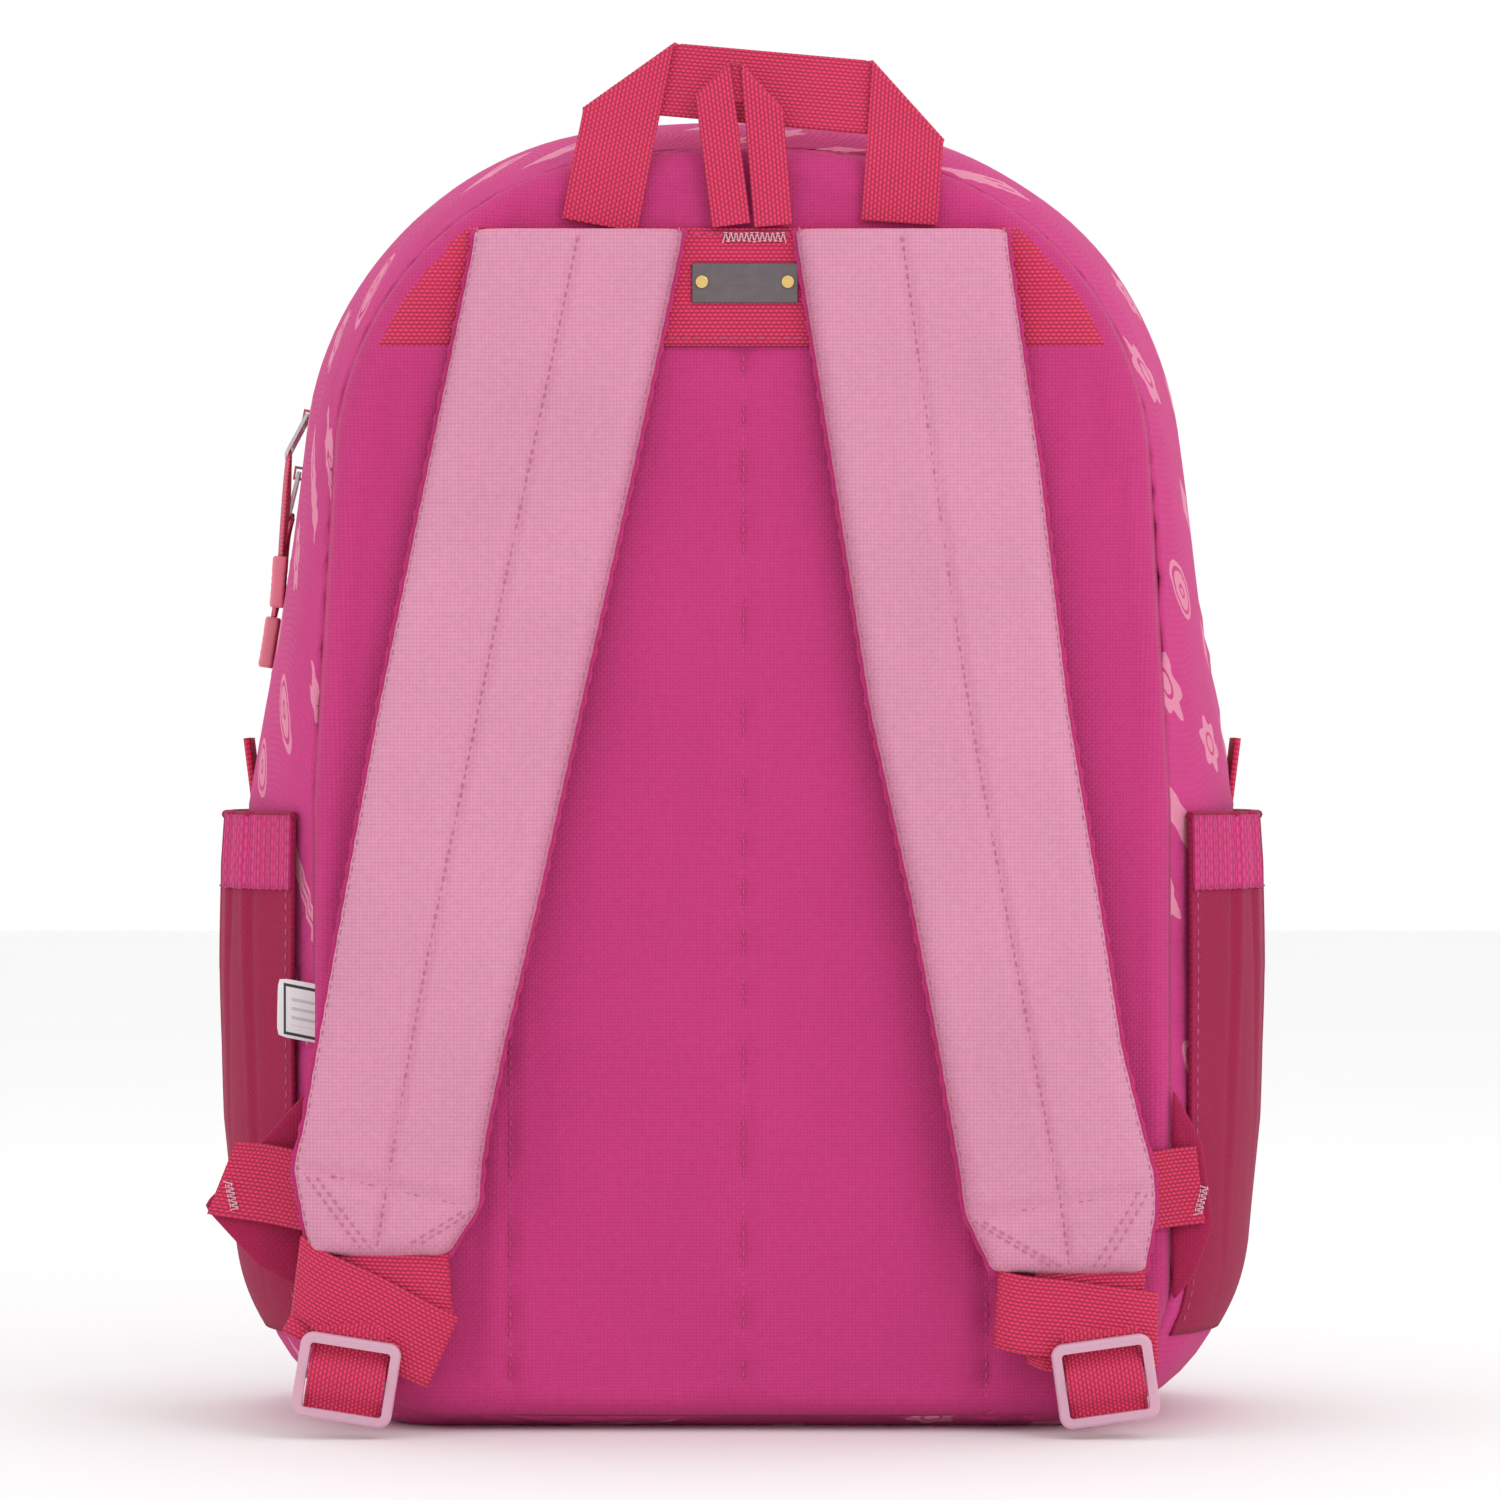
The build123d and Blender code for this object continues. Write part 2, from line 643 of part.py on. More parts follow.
def corner_tab(side):
    hand = -1 if side == "left" else 1
    reach = TAB_REACH[side]
    root = BACK_SEAM[1] + 1.5
    y = BACK_SEAM[0] - 3.0
    out = reach - root
    high = root + out * 0.66
    with BuildPart() as tab:
        with BuildSketch(facing(y)):
            with BuildLine():
                Polyline(
                    (hand * (root - 8), 107),
                    (hand * high, 94),
                    (hand * reach, 72.4),
                    (hand * (root - 8), 42),
                    close=True,
                )
            make_face()
        extrude(amount=FABRIC)
        cut_body()
    save(f"{side}_corner_tab", tab)

    # The webbing starts on the tab's face and slants out to the strap, in a plane of its own.
    start_y = y - FABRIC - FIT - 1.1 * WEB
    end_x, end_y = abs(STRAPS[side]["x"][2]) + 8, strap_back(84) + 1.2 + WEB
    away = (start_y - end_y) / (reach - end_x)
    slant = Plane(
        origin=(hand * reach, start_y, 0),
        x_dir=(-hand, -away, 0),
        z_dir=(-hand * away, 1, 0),
    )
    up = 1 if slant.y_dir.Z > 0 else -1
    drop = tan(radians(14))
    on_slant = lambda x, z: ((reach - x) * hypot(1, away), up * z)
    with BuildPart() as web:
        with BuildSketch(slant):
            with BuildLine():
                Polyline(
                    on_slant(high, 94),
                    on_slant(reach, 72.4),
                    on_slant(end_x, 72.4 - drop * (reach - end_x)),
                    on_slant(end_x, 94 - drop * (high - end_x)),
                    close=True,
                )
            make_face()
        extrude(amount=WEB)
    save(f"{side}_anchor_webbing", web)


def cut_body():
    """Takes the bag's own shape, a little grown, and its padding out of the current solid."""
    add_body(FIT, mode=Mode.SUBTRACT)
    loft(
        [
            arch_sketch(BACK_SEAM, FIT),
            arch_sketch(BACK_SEAM, FIT, y=PANEL_FACE - FIT, inward=PANEL_EDGE),
        ],
        ruled=True,
        mode=Mode.SUBTRACT,
    )


# ---- side pockets -------------------------------------------------------------------------------
def pocket_region(hand, inset, plane_z):
    """Plan of a side pocket's outer face, from the back seam round its bulge to the front seam."""
    rear, front = BACK_SEAM[0] + 4, FRONT_SEAM[0] - 5
    bulge = POCKET_BULGE - inset
    with BuildSketch(Plane.XY.offset(plane_z)) as sketch:
        with BuildLine():
            Spline(
                (hand * (142 - inset), rear + inset),
                (hand * (164 - inset), -36),
                (hand * bulge, 16),
                (hand * (163 - inset), 54),
                (hand * (143 - inset), front - inset),
            )
            Polyline(
                (hand * (142 - inset), rear + inset),
                (hand * 100, rear + inset),
                (hand * 100, front - inset),
                (hand * (143 - inset), front - inset),
            )
        make_face()
    return sketch.sketch


def side_pocket(side):
    hand = -1 if side == "left" else 1
    elastic_front = -24.0
    with BuildPart() as pocket:
        extrude(pocket_region(hand, 0, POCKET_LOW), amount=POCKET_HIGH - POCKET_LOW)
        extrude(
            pocket_region(hand, FABRIC, POCKET_LOW + FABRIC), amount=POCKET_HIGH, mode=Mode.SUBTRACT
        )
        cut_body()
        cut_between(
            (min(0, hand * 300), -300, POCKET_HIGH - HEM),
            (max(0, hand * 300), elastic_front, 400),
        )
    save(f"{side}_side_pocket", pocket)

    with BuildPart() as elastic:
        extrude(pocket_region(hand, 0, POCKET_HIGH - HEM + SEW), amount=HEM - SEW)
        extrude(
            pocket_region(hand, FABRIC, POCKET_HIGH - HEM), amount=2 * HEM, mode=Mode.SUBTRACT
        )
        cut_body()
        keep_between(
            (min(0, hand * 300), -300, 0), (max(0, hand * 300), elastic_front - SEW, 400)
        )
    save(f"{side}_pocket_elastic", elastic)

    inner = ZIP_REAR[1] + FIT
    with BuildPart() as tab:
        outer = inner + 2 * WEB
        low, high = FOLD_Z - 2.0, FOLD_Z + 22.0
        lean = 3.0
        with BuildSketch(Plane.XZ.offset(-(ZIP_MIDDLE + WEB_WIDE / 2))):
            with BuildLine():
                Polyline(
                    (hand * inner, low),
                    (hand * outer, low),
                    (hand * (outer + lean), high),
                    (hand * (inner + lean), high),
                    close=True,
                )
            make_face()
        extrude(amount=WEB_WIDE)
    save(f"{side}_zip_tab", tab)


def woven_label():
    with BuildPart() as label:
        block((-149, BACK_SEAM[0] - 2.2, 124), (-133, BACK_SEAM[0] - 1.6, 144))
        cut_body()
    save("woven_label", label)


# ---- front pocket -------------------------------------------------------------------------------
def front_pocket():
    low, back = 16.0, FRONT_FACE + SEW
    face = back + FRONT_POCKET_DEEP
    with BuildPart() as pocket:
        block((-FRONT_POCKET_HALF, back, low), (FRONT_POCKET_HALF, face, FRONT_POCKET_HIGH))
        fillet(pocket.edges().filter_by(Axis.Y), 16)
        fillet(pocket.faces().sort_by(Axis.Y)[-1].edges(), 9)
        offset(amount=-WALL, openings=pocket.faces().sort_by(Axis.Y)[0])
        slot = 12.0
        block(
            (-POCKET_ZIP_HALF, face - 4, POCKET_ZIP_Z - slot),
            (POCKET_ZIP_HALF, face + 4, POCKET_ZIP_Z + slot),
            Mode.SUBTRACT,
        )
    save("front_pocket", pocket)

    with BuildPart() as tape:
        for hand in (-1, 1):
            near = COIL_GAP / 2 + COIL_SIZE + SEW
            low_z, high_z = sorted((POCKET_ZIP_Z + hand * near, POCKET_ZIP_Z + hand * (slot - SEW)))
            block((SEW - POCKET_ZIP_HALF, face - 1.2, low_z), (POCKET_ZIP_HALF - SEW, face - 0.4, high_z))
    save("pocket_zip_tape", tape)
    with BuildPart() as coil:
        for hand in (-1, 1):
            near, far = COIL_GAP / 2, COIL_GAP / 2 + COIL_SIZE
            low_z, high_z = sorted((POCKET_ZIP_Z + hand * near, POCKET_ZIP_Z + hand * far))
            block(
                (SEW - POCKET_ZIP_HALF, face + 0.3 - COIL_SIZE, low_z),
                (POCKET_ZIP_HALF - SEW, face + 0.3, high_z),
            )
    save("pocket_zip_coil", coil)

    home = -POCKET_ZIP_HALF + 8.0
    plane = Plane(origin=(home, face, POCKET_ZIP_Z), x_dir=(-1, 0, 0), z_dir=(0, 1, 0))
    save("pocket_slider", slider_solid(plane, hole_across=False))
    pivot = (home, face + PIVOT_OUT, POCKET_ZIP_Z)
    for what, piece in zip(("tab", "cord", "grip"), pull_pieces(pivot, (0, 0, -1), (0, 1, 0), slope=5)):
        save(f"pocket_pull_{what}", piece)
    return pivot


def main():
    os.makedirs("parts", exist_ok=True)
    gussets()
    back_panel()
    front_panel()
    main_zip()
    pivots = main_sliders()
    back_webbing()
    haul_handle()
    hang_loop()
    joints = {}
    for side in ("left", "right"):
        strap_pad(side)
        joints[side] = strap_end(side)
        corner_tab(side)
        side_pocket(side)
    woven_label()
    pivots["pocket"] = front_pocket()
    leg = leg_angle(ZIP_REAR[1], SHOULDER_RADIUS)
    print("leg angle", round(degrees(leg), 3), "shoulder centre", round(SHOULDER_X, 3), round(SHOULDER_Z, 3))
    print("pull pivots", {k: [round(v, 3) for v in p] for k, p in pivots.items()})
    print("adjuster axes", joints)


main()
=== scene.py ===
from math import atan2, acos, cos, hypot, pi, radians, sin, sqrt

import bpy
import bmesh
import numpy as np
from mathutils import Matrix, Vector


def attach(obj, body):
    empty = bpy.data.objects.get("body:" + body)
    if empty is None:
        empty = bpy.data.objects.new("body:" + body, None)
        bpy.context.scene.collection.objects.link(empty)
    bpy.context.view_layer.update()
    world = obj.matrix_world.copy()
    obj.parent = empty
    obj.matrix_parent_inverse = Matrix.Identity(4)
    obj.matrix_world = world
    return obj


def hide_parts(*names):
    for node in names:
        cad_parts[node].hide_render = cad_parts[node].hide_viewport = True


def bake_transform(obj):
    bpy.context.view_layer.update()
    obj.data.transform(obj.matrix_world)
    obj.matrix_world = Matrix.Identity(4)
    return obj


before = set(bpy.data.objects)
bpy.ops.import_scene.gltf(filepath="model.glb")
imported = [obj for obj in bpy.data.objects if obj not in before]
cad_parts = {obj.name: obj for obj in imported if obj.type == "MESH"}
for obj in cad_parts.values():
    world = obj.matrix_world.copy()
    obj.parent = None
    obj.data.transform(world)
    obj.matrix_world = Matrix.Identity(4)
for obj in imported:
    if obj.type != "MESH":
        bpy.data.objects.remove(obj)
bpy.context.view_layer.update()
mm = 0.001
print("frame loaded:", len(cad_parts), "nodes")


# Shader maths.
class Wire:  # a shader socket that takes part in Python expressions
    def __init__(self, shade, socket):
        self.shade = shade
        self.socket = socket

    def math(self, operation, *others):
        return self.shade.math(operation, self, *others)

    def __add__(self, other):
        return self.math("ADD", other)

    __radd__ = __add__

    def __mul__(self, other):
        return self.math("MULTIPLY", other)

    __rmul__ = __mul__

    def __sub__(self, other):
        return self.math("SUBTRACT", other)

    def __rsub__(self, other):
        return self.shade.math("SUBTRACT", other, self)

    def __truediv__(self, other):
        return self.math("DIVIDE", other)

    def __pow__(self, other):
        return self.math("POWER", other)

    def __mod__(self, other):
        return self.math("FLOORED_MODULO", other)

    def __lt__(self, other):
        return self.math("LESS_THAN", other)

    def __gt__(self, other):
        return self.math("GREATER_THAN", other)


class Shade:  # one material, built node by node
    def __init__(self, name, **fixed):
        self.material = bpy.data.materials.new(name)
        self.material.use_nodes = True
        self.tree = self.material.node_tree
        self.surface = self.tree.nodes["Principled BSDF"]
        for key, value in fixed.items():  # constants stay on the shader's own sockets
            self.surface.inputs[key.replace("_", " ")].default_value = value

    def node(self, kind, settings=None, values=None, output=0):
        made = self.tree.nodes.new(kind)
        for key, value in (settings or {}).items():
            setattr(made, key, value)
        for key, value in (values or {}).items():
            self.feed(made.inputs[key], value)
        return Wire(self, made.outputs[output])

    def feed(self, socket, value):
        if isinstance(value, Wire):
            self.tree.links.new(value.socket, socket)
        elif value is not None:
            if hasattr(socket.default_value, "__len__") and len(socket.default_value) == 4:
                value = (*value, 1)[:4]
            socket.default_value = value

    def math(self, operation, *terms):
        return self.node("ShaderNodeMath", {"operation": operation}, dict(enumerate(terms)))

    def mix(self, factor, first, second):
        return self.node("ShaderNodeMix", {"data_type": "RGBA"}, {0: factor, 6: first, 7: second}, output=2)

    def places(self, space):  # the metres that a pattern follows: the UV map or the object itself
        return self.node("ShaderNodeTexCoord", output={"UV": 2, "Object": 3}[space])

    def parts(self, vector):
        return [self.node("ShaderNodeSeparateXYZ", values={0: vector}, output=i) for i in range(3)]

    def noise(self, vector, scale, detail=2.0, rough=0.5):
        values = {"Vector": vector, "Scale": scale, "Detail": detail, "Roughness": rough}
        return self.node("ShaderNodeTexNoise", values=values)

    def bump(self, height, strength, distance):
        values = {"Strength": strength, "Distance": distance, "Height": height}
        self.feed(self.surface.inputs["Normal"], self.node("ShaderNodeBump", values=values))

    def finish(self, colour, rough):
        self.feed(self.surface.inputs["Base Color"], colour)
        self.feed(self.surface.inputs["Roughness"], rough)
        return self.material


def weave(u, v, pitch):  # plain weave: threads that pass over and under each other
    across, along = u / pitch, v / pitch
    check = (across.math("FLOOR") + along.math("FLOOR")) % 2.0
    warp = (across * pi).math("SINE").math("ABSOLUTE")
    weft = (along * pi).math("SINE").math("ABSOLUTE")
    return warp ** 0.6 * check + weft ** 0.6 * (1 - check)


def cloth(name, light, deep, pitch=0.0011, bumpDeep=0.00022, motif=None):
    shade = Shade(name, Sheen_Weight=0.05, Sheen_Roughness=0.5, Specular_IOR_Level=0.12)
    place = shade.places("UV")
    u, v, _ = shade.parts(place)
    thread = weave(u, v, pitch)
    cloudy = shade.noise(place, 14, 3)
    slub = shade.noise(place, 420, 2)
    # The darker copy fills the weave's gaps as painted shade between threads; the cloudy and slub noise are
    # the cloth's own uneven tone.
    colour = shade.mix(thread * 0.45 + cloudy * 0.35 + slub * 0.35, deep, light)
    if motif:
        colour = motif(shade, colour, u, v, thread)
    shade.bump(thread + slub * 0.5, 0.55, bumpDeep)
    return shade.finish(colour, slub * 0.12 + 0.72)


def webbingCloth(name, light, deep, across=0.00125, along=0.0017):
    shade = Shade(name, Sheen_Weight=0.05, Sheen_Roughness=0.4, Specular_IOR_Level=0.2)
    place = shade.places("UV")
    u, v, _ = shade.parts(place)
    column = u / across
    stagger = (column.math("FLOOR") % 2.0) * 0.5
    rise = (v / along + stagger).math("FRACT") - 0.5
    side = column.math("FRACT") - 0.5
    grain = 1 - (rise * rise * 3.0 + side * side * 3.6)
    grain = grain.math("MAXIMUM", 0.0) ** 0.7
    cloudy = shade.noise(place, 30, 2)
    fibre = shade.noise(place, 1600, 2)
    # Painted shade between the grains, mixed with the webbing's own cloudy and fibre tone.
    grainShadeAndTone = grain * 0.75 + cloudy * 0.2 + fibre * 0.15
    shade.bump(grain + fibre * 0.15, 0.9, 0.0005)
    return shade.finish(shade.mix(grainShadeAndTone, deep, light), 0.72 - grain * 0.12)


def printed(shade, under, u, v, thread):  # pale flowers, rings and blocks scattered over the cloth
    cell = 0.037
    across, along = u / cell, v / cell
    column = across.math("FLOOR")
    along = along + column * 0.5
    row = along.math("FLOOR")
    key = shade.node("ShaderNodeCombineXYZ", values={0: column, 1: row})
    luck = shade.node("ShaderNodeTexWhiteNoise", {"noise_dimensions": "2D"}, {"Vector": key}, output=1)
    pick, shiftX, shiftY = shade.parts(luck)
    x = across - column - 0.5 + (shiftX - 0.5) * 0.34
    y = along - row - 0.5 + (shiftY - 0.5) * 0.34
    far = (x * x + y * y).math("SQRT")
    turn = y.math("ARCTAN2", x)
    petals = (turn * 6.0 + pick * 9.0).math("COSINE") * 0.035 + 0.205
    flower = (far < petals) * (1 - (far > 0.07) * (far < 0.1))
    ring = (far < 0.21) * (1 - (far > 0.14) * (far < 0.17)) * (1 - (far < 0.055) * (far > 0.03))
    lean = x + y * 0.3
    block = (lean.math("ABSOLUTE") < 0.15) * (y.math("ABSOLUTE") < 0.2)
    bars = 1 - (y > 0.02) * (y < 0.13) * ((lean.math("ABSOLUTE") - 0.06).math("ABSOLUTE") < 0.02)
    first, second = pick < 0.36, pick > 0.68
    shape = flower * first + block * bars * second + ring * (1 - first) * (1 - second)
    # The motif is paler on the thread tops and dimmer in the weave's gaps: painted shade between threads.
    return shade.mix(shape * (thread * 0.25 + 0.7), under, shades(217, 138, 163)[0])


def shades(red, green, blue, lit=1.2, gap=0.62):  # a lighter and a darker copy of a 0-255 colour; where cloth mixes them by its weave, the darker one is painted shade in the gaps between threads and the lighter one the lit thread tops
    even = [((c / 255 + 0.055) / 1.055) ** 2.4 * 0.93 for c in (red, green, blue)]
    return tuple(c * lit for c in even), tuple(c * gap for c in even)


pinks = {
    "panel": shades(198, 60, 124), "gusset": shades(207, 66, 134), "strap": shades(217, 146, 174),
    "webbing": shades(222, 60, 100, 1.25, 0.5), "elastic": shades(214, 60, 126),
    "lining": shades(150, 50, 90), "pocket": shades(158, 32, 74), "tab": shades(172, 40, 84),
    "tape": shades(178, 44, 92),
}
paint = {
    "panel": cloth("panelCloth", *pinks["panel"]),
    "gusset": cloth("gussetCloth", *pinks["gusset"], motif=printed),
    "pocket": cloth("pocketCloth", *pinks["pocket"]),
    "tab": cloth("tabCloth", *pinks["tab"]),
    "strap": cloth("strapCloth", *pinks["strap"], pitch=0.0012, bumpDeep=0.00028),
    "lining": cloth("liningCloth", *pinks["lining"], pitch=0.0007, bumpDeep=0.0001),
    "webbing": webbingCloth("webbingWeave", *pinks["webbing"]),
    "elastic": webbingCloth("elasticRib", *pinks["elastic"], across=0.0011, along=0.0040),
    "tape": cloth("zipTapeWeave", *pinks["tape"], pitch=0.0008),
}


def plainFinish(name, light, deep, rough, grainScale=900, bumpDeep=0.00005, **fixed):
    shade = Shade(name, **fixed)
    place = shade.places("Object")
    grain = shade.noise(place, grainScale, 3)
    wide = shade.noise(place, 40, 2)
    shade.bump(grain, 0.4, bumpDeep)
    return shade.finish(shade.mix(grain * 0.4 + wide * 0.6, deep, light), grain * 0.16 + rough - 0.08)


def brushedFinish(name, light, deep, rough):
    shade = Shade(name, Metallic=0.9)
    place = shade.places("Object")
    stretch = shade.node("ShaderNodeMapping", values={"Vector": place, "Scale": (60, 400, 2600)})
    lines = shade.noise(stretch, 1.0, 4, 0.7)
    wear = shade.noise(place, 300, 3)
    shade.bump(lines, 0.35, 0.00004)
    return shade.finish(shade.mix(lines * 0.6 + wear * 0.4, deep, light), lines * 0.25 + rough)


paint.update({
    "thread": plainFinish("stitchThread", *shades(205, 78, 132), 0.7),
    "strapThread": plainFinish("strapThread", *shades(205, 122, 152), 0.7),
    "tackThread": plainFinish("tackThread", *shades(236, 190, 205), 0.65),
    "adjuster": plainFinish("adjusterPlastic", *shades(214, 163, 184, 1.1, 0.95), 0.42, 500,
                            Subsurface_Weight=0.12, Coat_Weight=0.1),
    "coil": plainFinish("zipCoilNylon", *shades(190, 58, 100), 0.45),
    "slider": plainFinish("sliderEnamel", *shades(190, 84, 110, 1.1, 0.9), 0.38, Coat_Weight=0.3),
    "pullMetal": brushedFinish("pullMetal", (0.72, 0.70, 0.70), (0.45, 0.43, 0.44), 0.25),
    "grip": plainFinish("gripRubber", *shades(236, 130, 150, 1.1, 0.9), 0.55),
    "cord": webbingCloth("pullCord", *shades(232, 112, 136), 0.0010, 0.0014),
    "plate": brushedFinish("darkPlate", (0.22, 0.19, 0.20), (0.09, 0.075, 0.08), 0.34),
    "brass": plainFinish("rivetBrass", (0.86, 0.62, 0.24), (0.62, 0.42, 0.15), 0.28, Metallic=1.0),
    "board": plainFinish("boardPlastic", (0.24, 0.23, 0.24), (0.16, 0.155, 0.16), 0.6),
})
print("materials made:", len(paint))


# Making meshes.
def mesh(name, points, faces, uvs=None, material=None):
    data = bpy.data.meshes.new(name)
    data.from_pydata([tuple(p) for p in points], [], [tuple(int(i) for i in f) for f in faces])
    if uvs is not None:
        layer = data.uv_layers.new(name="UVMap")
        layer.data.foreach_set("uv", np.asarray(uvs, dtype=np.float32).ravel())
    data.polygons.foreach_set("use_smooth", [True] * len(data.polygons))
    piece = bpy.data.objects.new(name, data)
    bpy.context.collection.objects.link(piece)
    if material:
        data.materials.append(material)
    return piece


def grid(name, points, uvs, material, closed=False, keep=None, reverse=False):
    # points is rows x columns x 3. closed joins the last row to the first. uvs has the extra row.
    rows, columns = points.shape[:2]
    faces, corners = [], []
    for i in range(rows if closed else rows - 1):
        after = (i + 1) % rows
        for j in range(columns - 1):
            if keep is not None and not keep[i, j]:
                continue
            face = [i * columns + j, after * columns + j, after * columns + j + 1, i * columns + j + 1]
            corner = [uvs[i, j], uvs[i + 1, j], uvs[i + 1, j + 1], uvs[i, j + 1]]
            if reverse:
                face, corner = face[::-1], corner[::-1]
            faces.append(face)
            corners.extend(corner)
    piece = mesh(name, points.reshape(-1, 3), faces, corners, material)
    if keep is not None:
        trimmed = bmesh.new()
        trimmed.from_mesh(piece.data)
        loose = [v for v in trimmed.verts if not v.link_faces]
        bmesh.ops.delete(trimmed, geom=loose, context="VERTS")
        trimmed.to_mesh(piece.data)
        trimmed.free()
    return piece


def modify(piece, kind, **settings):
    made = piece.modifiers.new(kind.lower(), kind)
    for key, value in settings.items():
        setattr(made, key, value)
    return made


def settle(piece):  # turns every modifier into plain mesh
    graph = bpy.context.evaluated_depsgraph_get()
    graph.update()
    made = bpy.data.meshes.new_from_object(piece.evaluated_get(graph), depsgraph=graph)
    piece.modifiers.clear()
    piece.data = made
    return piece


def outward(piece):
    turned = bmesh.new()
    turned.from_mesh(piece.data)
    bmesh.ops.recalc_face_normals(turned, faces=turned.faces)
    turned.to_mesh(piece.data)
    turned.free()
    return piece


def thick(piece, wall, offset=-1.0):  # offset -1 grows inwards, 0 both ways
    modify(piece, "SOLIDIFY", thickness=wall, offset=offset, use_even_offset=False)
    return outward(settle(piece))


def joined(name, pieces):
    bpy.ops.object.select_all(action="DESELECT")
    for piece in pieces:
        piece.select_set(True)
    bpy.context.view_layer.objects.active = pieces[0]
    bpy.ops.object.join()
    pieces[0].name = name
    return pieces[0]


def wears(piece, body, slot, *nodes):  # puts a piece on its body and hides the nodes it stands for
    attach(piece, body)
    if nodes:
        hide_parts(*nodes)
    return piece


def ripple(points, seed, waves, long, deep):  # smooth, seeded unevenness for cloth
    dice = np.random.default_rng(seed)
    total = np.zeros(points.shape[:-1])
    for _ in range(waves):
        way = dice.normal(size=3)
        way /= np.linalg.norm(way)
        pitch = long * dice.uniform(0.6, 1.6)
        total += np.sin(points @ way * 2 * pi / pitch + dice.uniform(0, 2 * pi))
    return total * deep / sqrt(waves)


def inflate(piece, pinned, pressure, cap, frames=14):  # cloth under pressure between its seams
    group = piece.vertex_groups.new(name="seams")
    group.add([int(i) for i in pinned], 1.0, "REPLACE")
    cover = modify(piece, "CLOTH")
    rules = cover.settings
    rules.quality, rules.mass = 6, 0.25
    rules.tension_stiffness = rules.compression_stiffness = rules.shear_stiffness = 20
    rules.bending_stiffness = 0.6
    rules.use_pressure, rules.uniform_pressure_force = True, pressure
    rules.vertex_group_mass = "seams"
    rules.effector_weights.gravity = 0
    cover.point_cache.frame_start, cover.point_cache.frame_end = 1, frames
    cover.collision_settings.use_collision = False
    for moment in range(1, frames + 1):
        bpy.context.scene.frame_set(moment)
    graph = bpy.context.evaluated_depsgraph_get()
    puffed = piece.evaluated_get(graph).data
    count = len(piece.data.vertices)
    rest, moved = np.empty(count * 3), np.empty(count * 3)
    piece.data.vertices.foreach_get("co", rest)
    puffed.vertices.foreach_get("co", moved)
    step = (moved - rest).reshape(-1, 3)
    reach = np.linalg.norm(step, axis=1, keepdims=True)
    step *= np.minimum(1, cap / np.maximum(reach, 1e-9))
    piece.modifiers.clear()
    piece.vertex_groups.clear()
    piece.data.vertices.foreach_set("co", (rest.reshape(-1, 3) + step).ravel())
    bpy.context.scene.frame_set(1)
    return piece


# The bag's own outline.
# y, half width, inset of the arch, base and corner radius, from the back seam to the front one.
body = {
    "sections": np.array([
        (-70, 136, 14, 6, 44), (-58, 145.5, 8.5, 2, 48), (-40, 154, 4, 0.2, 52), (8, 161, 0, 0, 58),
        (32, 161, 0, 0, 58), (58, 155, 4, 0.2, 52), (69, 146, 9, 3, 48), (75, 138, 14, 6, 44),
    ]) * mm,
    "top": 424 * mm, "crown": 280 * mm, "shoulder": 115 * mm, "turn": radians(10), "fold": 200 * mm,
    "wall": 1.4 * mm,
}
crownZ = body["top"] - body["crown"]
shoulderX = (body["crown"] - body["shoulder"]) * sin(body["turn"])
shoulderZ = crownZ + (body["crown"] - body["shoulder"]) * cos(body["turn"])


def sectionAt(y):
    table = body["sections"]
    slopes = np.gradient(table[:, 1:], table[:, 0], axis=0)
    i = int(np.clip(np.searchsorted(table[:, 0], y) - 1, 0, len(table) - 2))
    wide = table[i + 1, 0] - table[i, 0]
    t = (y - table[i, 0]) / wide
    a, b = table[i, 1:], table[i + 1, 1:]
    return ((2 * t**3 - 3 * t**2 + 1) * a + (t**3 - 2 * t**2 + t) * wide * slopes[i]
            + (3 * t**2 - 2 * t**3) * b + (t**3 - t**2) * wide * slopes[i + 1])


def outline(y, fine=1):
    # Points and outward directions round the arch, from the middle of the base up the right side,
    # over the crown and down the left side.
    half, inset, base, corner = sectionAt(y)
    shoulder, crown = body["shoulder"] - inset, body["crown"] - inset
    dx, dz = half - shoulderX, body["fold"] - shoulderZ
    leg = atan2(dz, dx) + acos(shoulder / hypot(dx, dz))
    joint = pi / 2 - body["turn"]
    run, way = [], []

    def straight(start, end, count, direction):
        for t in np.linspace(0, 1, count, endpoint=False):
            run.append((start[0] + (end[0] - start[0]) * t, start[1] + (end[1] - start[1]) * t))
            way.append(direction)

    def curve(middle, radius, start, end, count):
        for a in np.linspace(start, end, count, endpoint=False):
            run.append((middle[0] + radius * cos(a), middle[1] + radius * sin(a)))
            way.append((cos(a), sin(a)))

    straight((0, base), (half - corner, base), 14 * fine, (0, -1))
    curve((half - corner, base + corner), corner, -pi / 2, 0, 12 * fine)
    straight((half, base + corner), (half, body["fold"]), 24 * fine, (1, 0))
    foot = (shoulderX + shoulder * cos(leg), shoulderZ + shoulder * sin(leg))
    straight((half, body["fold"]), foot, 20 * fine, (cos(leg), sin(leg)))
    curve((shoulderX, shoulderZ), shoulder, leg, joint, 26 * fine)
    curve((0, crownZ), crown, joint, pi / 2, 10 * fine)
    run, way = np.array(run), np.array(way)
    left, leftWay = run[1:][::-1] * (-1, 1), way[1:][::-1] * (-1, 1)
    top, topWay = np.array([(0, crownZ + crown)]), np.array([(0, 1)])
    return np.vstack([run, top, left]), np.vstack([way, topWay, leftWay])


def around(run):  # distance along a closed run of points, with the last one back at the start
    steps = np.linalg.norm(np.diff(np.vstack([run, run[:1]]), axis=0), axis=1)
    return np.concatenate([[0], np.cumsum(steps)])


